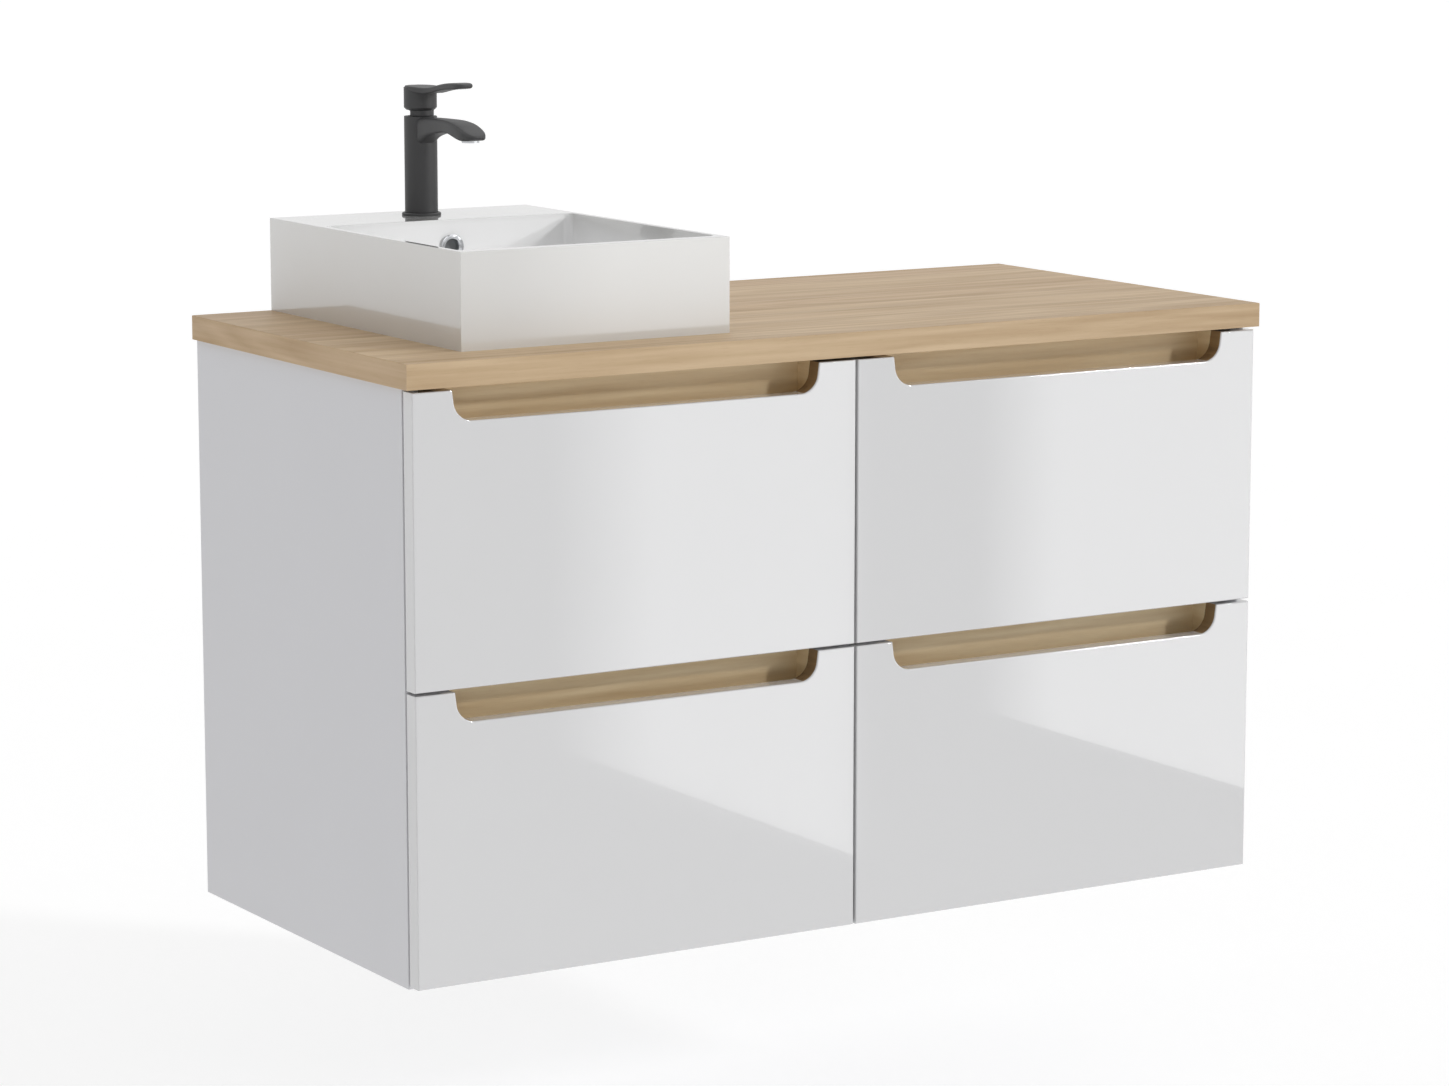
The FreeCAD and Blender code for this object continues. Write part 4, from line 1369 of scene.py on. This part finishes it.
    def index(self) -> None:
        """The index plug in the cap, and the smaller mark below it."""
        centre = round_part("tap_index_plug", Axis.TO_WALL)[0] + Vector((0, 0.0002, 0))
        dish, depth = self.index_dish, self.index_dish_depth
        radius, back = self.index_radius, self.index_thickness
        disc = ((0, depth), (dish, depth), (dish, 0), (radius, 0), (radius, back), (0, back))
        plug = lathe(disc, centre, self.fine_edge, Axis.TO_WALL, 32)
        Workshop.piece(plug, "tap_index_plug", DARK_PLASTIC)
        second = tuple((self.mark_share * out, height) for out, height in disc)
        mark = lathe(second, centre - Vector((0, 0, self.mark_drop)), self.fine_edge, Axis.TO_WALL, 32)
        Workshop.piece(mark, "tap_index_plug", DARK_PLASTIC, "tap_index_mark_look", False)

    def neck(self, cap_foot: float) -> None:
        """The half collar that turns with the stem and closes the groove at the front.

        Args:
            cap_foot: Height of the cap's lower edge.
        """
        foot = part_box("tap_collar")[1].z + 0.0002
        lip = cap_foot - 0.0003
        seat = lip - self.skirt_drop
        bore, outer = self.neck_bore, self.neck_radius
        inner = outer - self.neck_wall
        profile = (
            (bore, foot), (outer, foot), (outer, lip), (inner, lip), (inner, seat), (bore, seat),
            (bore, foot),
        )
        centre = self.axis
        past = outer + 0.006
        behind = block(Vector((centre.x - past, centre.y - 0.003, foot - OVERSHOOT)),
                       Vector((centre.x + past, centre.y + past, lip + OVERSHOOT)))
        half = Workshop.carved(lathe(profile, centre, self.fine_edge), [behind], "neck")
        Workshop.piece(half, "tap_spindle", TAP_COAT, "tap_neck_look", False)

    def fixings(self) -> None:
        """The threaded stud, the clamp washer and the nut under the deck."""
        low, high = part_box("tap_stud")
        radius = (high.x - low.x) / 2
        root = radius - 0.5 * self.stud_pitch
        turns = int((high.z - low.z) / self.stud_pitch)
        profile = [(0, low.z), (root, low.z)]
        for turn in range(turns):
            foot = low.z + turn * self.stud_pitch
            profile += [(root, foot + 0.1 * self.stud_pitch), (radius, foot + 0.5 * self.stud_pitch)]
        profile += [(root, high.z), (0, high.z)]
        Workshop.piece(lathe(profile, self.axis, 0.0, steps=24), "tap_stud", ZINC)
        Workshop.rounded("tap_clamp_washer", ZINC, self.edge)
        Workshop.rounded("tap_stud_nut", BRASS, self.edge)


@dataclass(frozen=True)
class Card:
    """A glowing card beside the object, which the gloss fronts reflect."""

    name: str
    near: float
    far: float
    low: float
    high: float
    x: float
    fade: float
    glow: float

    def build(self) -> None:
        """Stand the sheet up beside the object, seen by gloss alone."""
        shape = bmesh.new()
        bmesh.ops.create_grid(shape, x_segments=1, y_segments=1, size=0.5)
        place = Matrix.Translation((self.x, (self.near + self.far) / 2, (self.low + self.high) / 2))
        size = Matrix.Diagonal((1.0, self.far - self.near, self.high - self.low, 1.0))
        turn = Matrix.Rotation(math.pi / 2, 4, "Y")
        bmesh.ops.transform(shape, matrix=place @ size @ turn, verts=shape.verts[:])
        mesh = written(shape, self.name)
        item = linked(self.name, mesh)
        mesh.materials.append(self.material())
        item.visible_camera = item.visible_shadow = item.visible_diffuse = False

    def material(self) -> bpy.types.Material:
        """Light that is added to what lies behind, and fades out at the near end.

        Returns:
            The material.
        """
        material = bpy.data.materials.new(self.name)
        material.use_nodes = True
        bench = Bench(material.node_tree)
        _, y, _ = bench.split(bench.place())
        strength = bench.spread(y, self.near, self.near + self.fade, 0.0, self.glow)
        light = bench.node("ShaderNodeEmission", sockets={"Strength": strength})
        clear = bench.node("ShaderNodeBsdfTransparent")
        both = bench.node("ShaderNodeAddShader", sockets={0: light.outputs[0], 1: clear.outputs[0]})
        bench.node("ShaderNodeOutputMaterial", sockets={"Surface": both.outputs[0]})
        return material


CARDS = (
    Card("card_left", near=-2.20, far=-1.375, low=-0.25, high=1.2, x=0.74, fade=0.30, glow=1.35),
    Card("card_right", near=-1.09, far=-0.50, low=0.0, high=1.2, x=0.74, fade=0.16, glow=1.35),
)


@dataclass(frozen=True)
class Studio:
    """Camera, floor, ambient light, top light, key light and the reflected cards."""

    camera_place: Triple = (-2.394, -3.914, 1.124)
    camera_yaw: float = math.radians(31.35)
    camera_pitch: float = math.radians(-9.42)
    lens: float = 109.96
    view_distance: float = 200.0
    floor_height: float = -0.25
    floor_size: float = 80.0
    floor_colour: Colour = (0.55, 0.55, 0.55)
    floor_glow: float = 0.56
    ambient_light: float = 0.26
    mirrored_light: float = 0.86
    overhead_energy: float = 1.16
    overhead_angle: float = math.radians(110.0)
    key_energy: float = 0.84
    key_angle: float = math.radians(5.0)
    key_direction: Triple = (-0.66, 0.75, -0.42)

    def build(self) -> None:
        """Set the studio up."""
        bpy.context.scene.view_settings.view_transform = "Standard"
        self.camera()
        self.floor()
        self.ambient()
        self.lamps()
        for card in CARDS:
            card.build()

    def camera(self) -> None:
        """The camera, left of the object and a little above it."""
        data = bpy.data.cameras.new("camera")
        data.lens = self.lens
        data.clip_end = self.view_distance
        item = linked("camera", data)
        item.location = self.camera_place
        item.rotation_euler = (math.pi / 2 + self.camera_pitch, 0, -self.camera_yaw)
        bpy.context.scene.camera = item

    def floor(self) -> None:
        """A plain pale floor below the cabinet, which hangs clear of it."""
        shape = bmesh.new()
        bmesh.ops.create_grid(shape, x_segments=2, y_segments=2, size=self.floor_size / 2,
                              matrix=Matrix.Translation((0, 0, self.floor_height)))
        mesh = written(shape, "floor")
        item = linked("floor", mesh)
        mesh.materials.append(self.floor_material())

    def floor_material(self) -> bpy.types.Material:
        """A plain pale floor that glows a little, like a light table.

        Returns:
            The material.
        """
        material = Board("studio_floor", None, self.floor_colour, 0.8, 60.0).material()
        shader = next(node for node in material.node_tree.nodes if node.type == "BSDF_PRINCIPLED")
        shader.inputs["Emission Color"].default_value = (1.0, 1.0, 1.0, 1.0)
        shader.inputs["Emission Strength"].default_value = self.floor_glow
        return material

    def ambient(self) -> None:
        """Even light from all round, which gloss sees as a white room."""
        world = bpy.data.worlds.new("studio")
        world.use_nodes = True
        bpy.context.scene.world = world
        bench = Bench(world.node_tree)
        path = bench.node("ShaderNodeLightPath")
        diffuse = Sock(bench, path.outputs["Is Diffuse Ray"])
        glossy = Sock(bench, path.outputs["Is Glossy Ray"])
        strength = 1.0 - diffuse * (1.0 - self.ambient_light) - glossy * (1.0 - self.mirrored_light)
        sky = bench.node("ShaderNodeBackground", sockets={"Color": (1.0, 1.0, 1.0), "Strength": strength})
        bench.node("ShaderNodeOutputWorld", sockets={"Surface": sky.outputs[0]})

    def lamps(self) -> None:
        """A large soft light overhead and a small key light from the front right."""
        self.sun("overhead", self.overhead_energy, self.overhead_angle)
        key = self.sun("key", self.key_energy, self.key_angle)
        key.rotation_euler = Vector(self.key_direction).to_track_quat("-Z", "Y").to_euler()

    @staticmethod
    def sun(name: str, energy: float, angle: float) -> bpy.types.Object:
        """A far lamp that shines straight down.

        Args:
            name: The lamp's name.
            energy: Its strength.
            angle: How wide its disc looks, in radians.

        Returns:
            The lamp.
        """
        data = bpy.data.lights.new(name, "SUN")
        data.energy = energy
        data.angle = angle
        return linked(name, data)


def main() -> None:
    """Build every sub-assembly in order and report it."""
    Studio().build()
    drawers = [Drawer(f"{row}_{side}_drawer") for side in ("left", "right") for row in ("lower", "upper")]
    for assembly in (Carcass(), Worktop(), *drawers, Basin(), Trap(), Tap()):
        log.info("building %s", assembly)
        assembly.build()


if __name__ == "__main__":
    logging.basicConfig(level=logging.INFO)
    main()
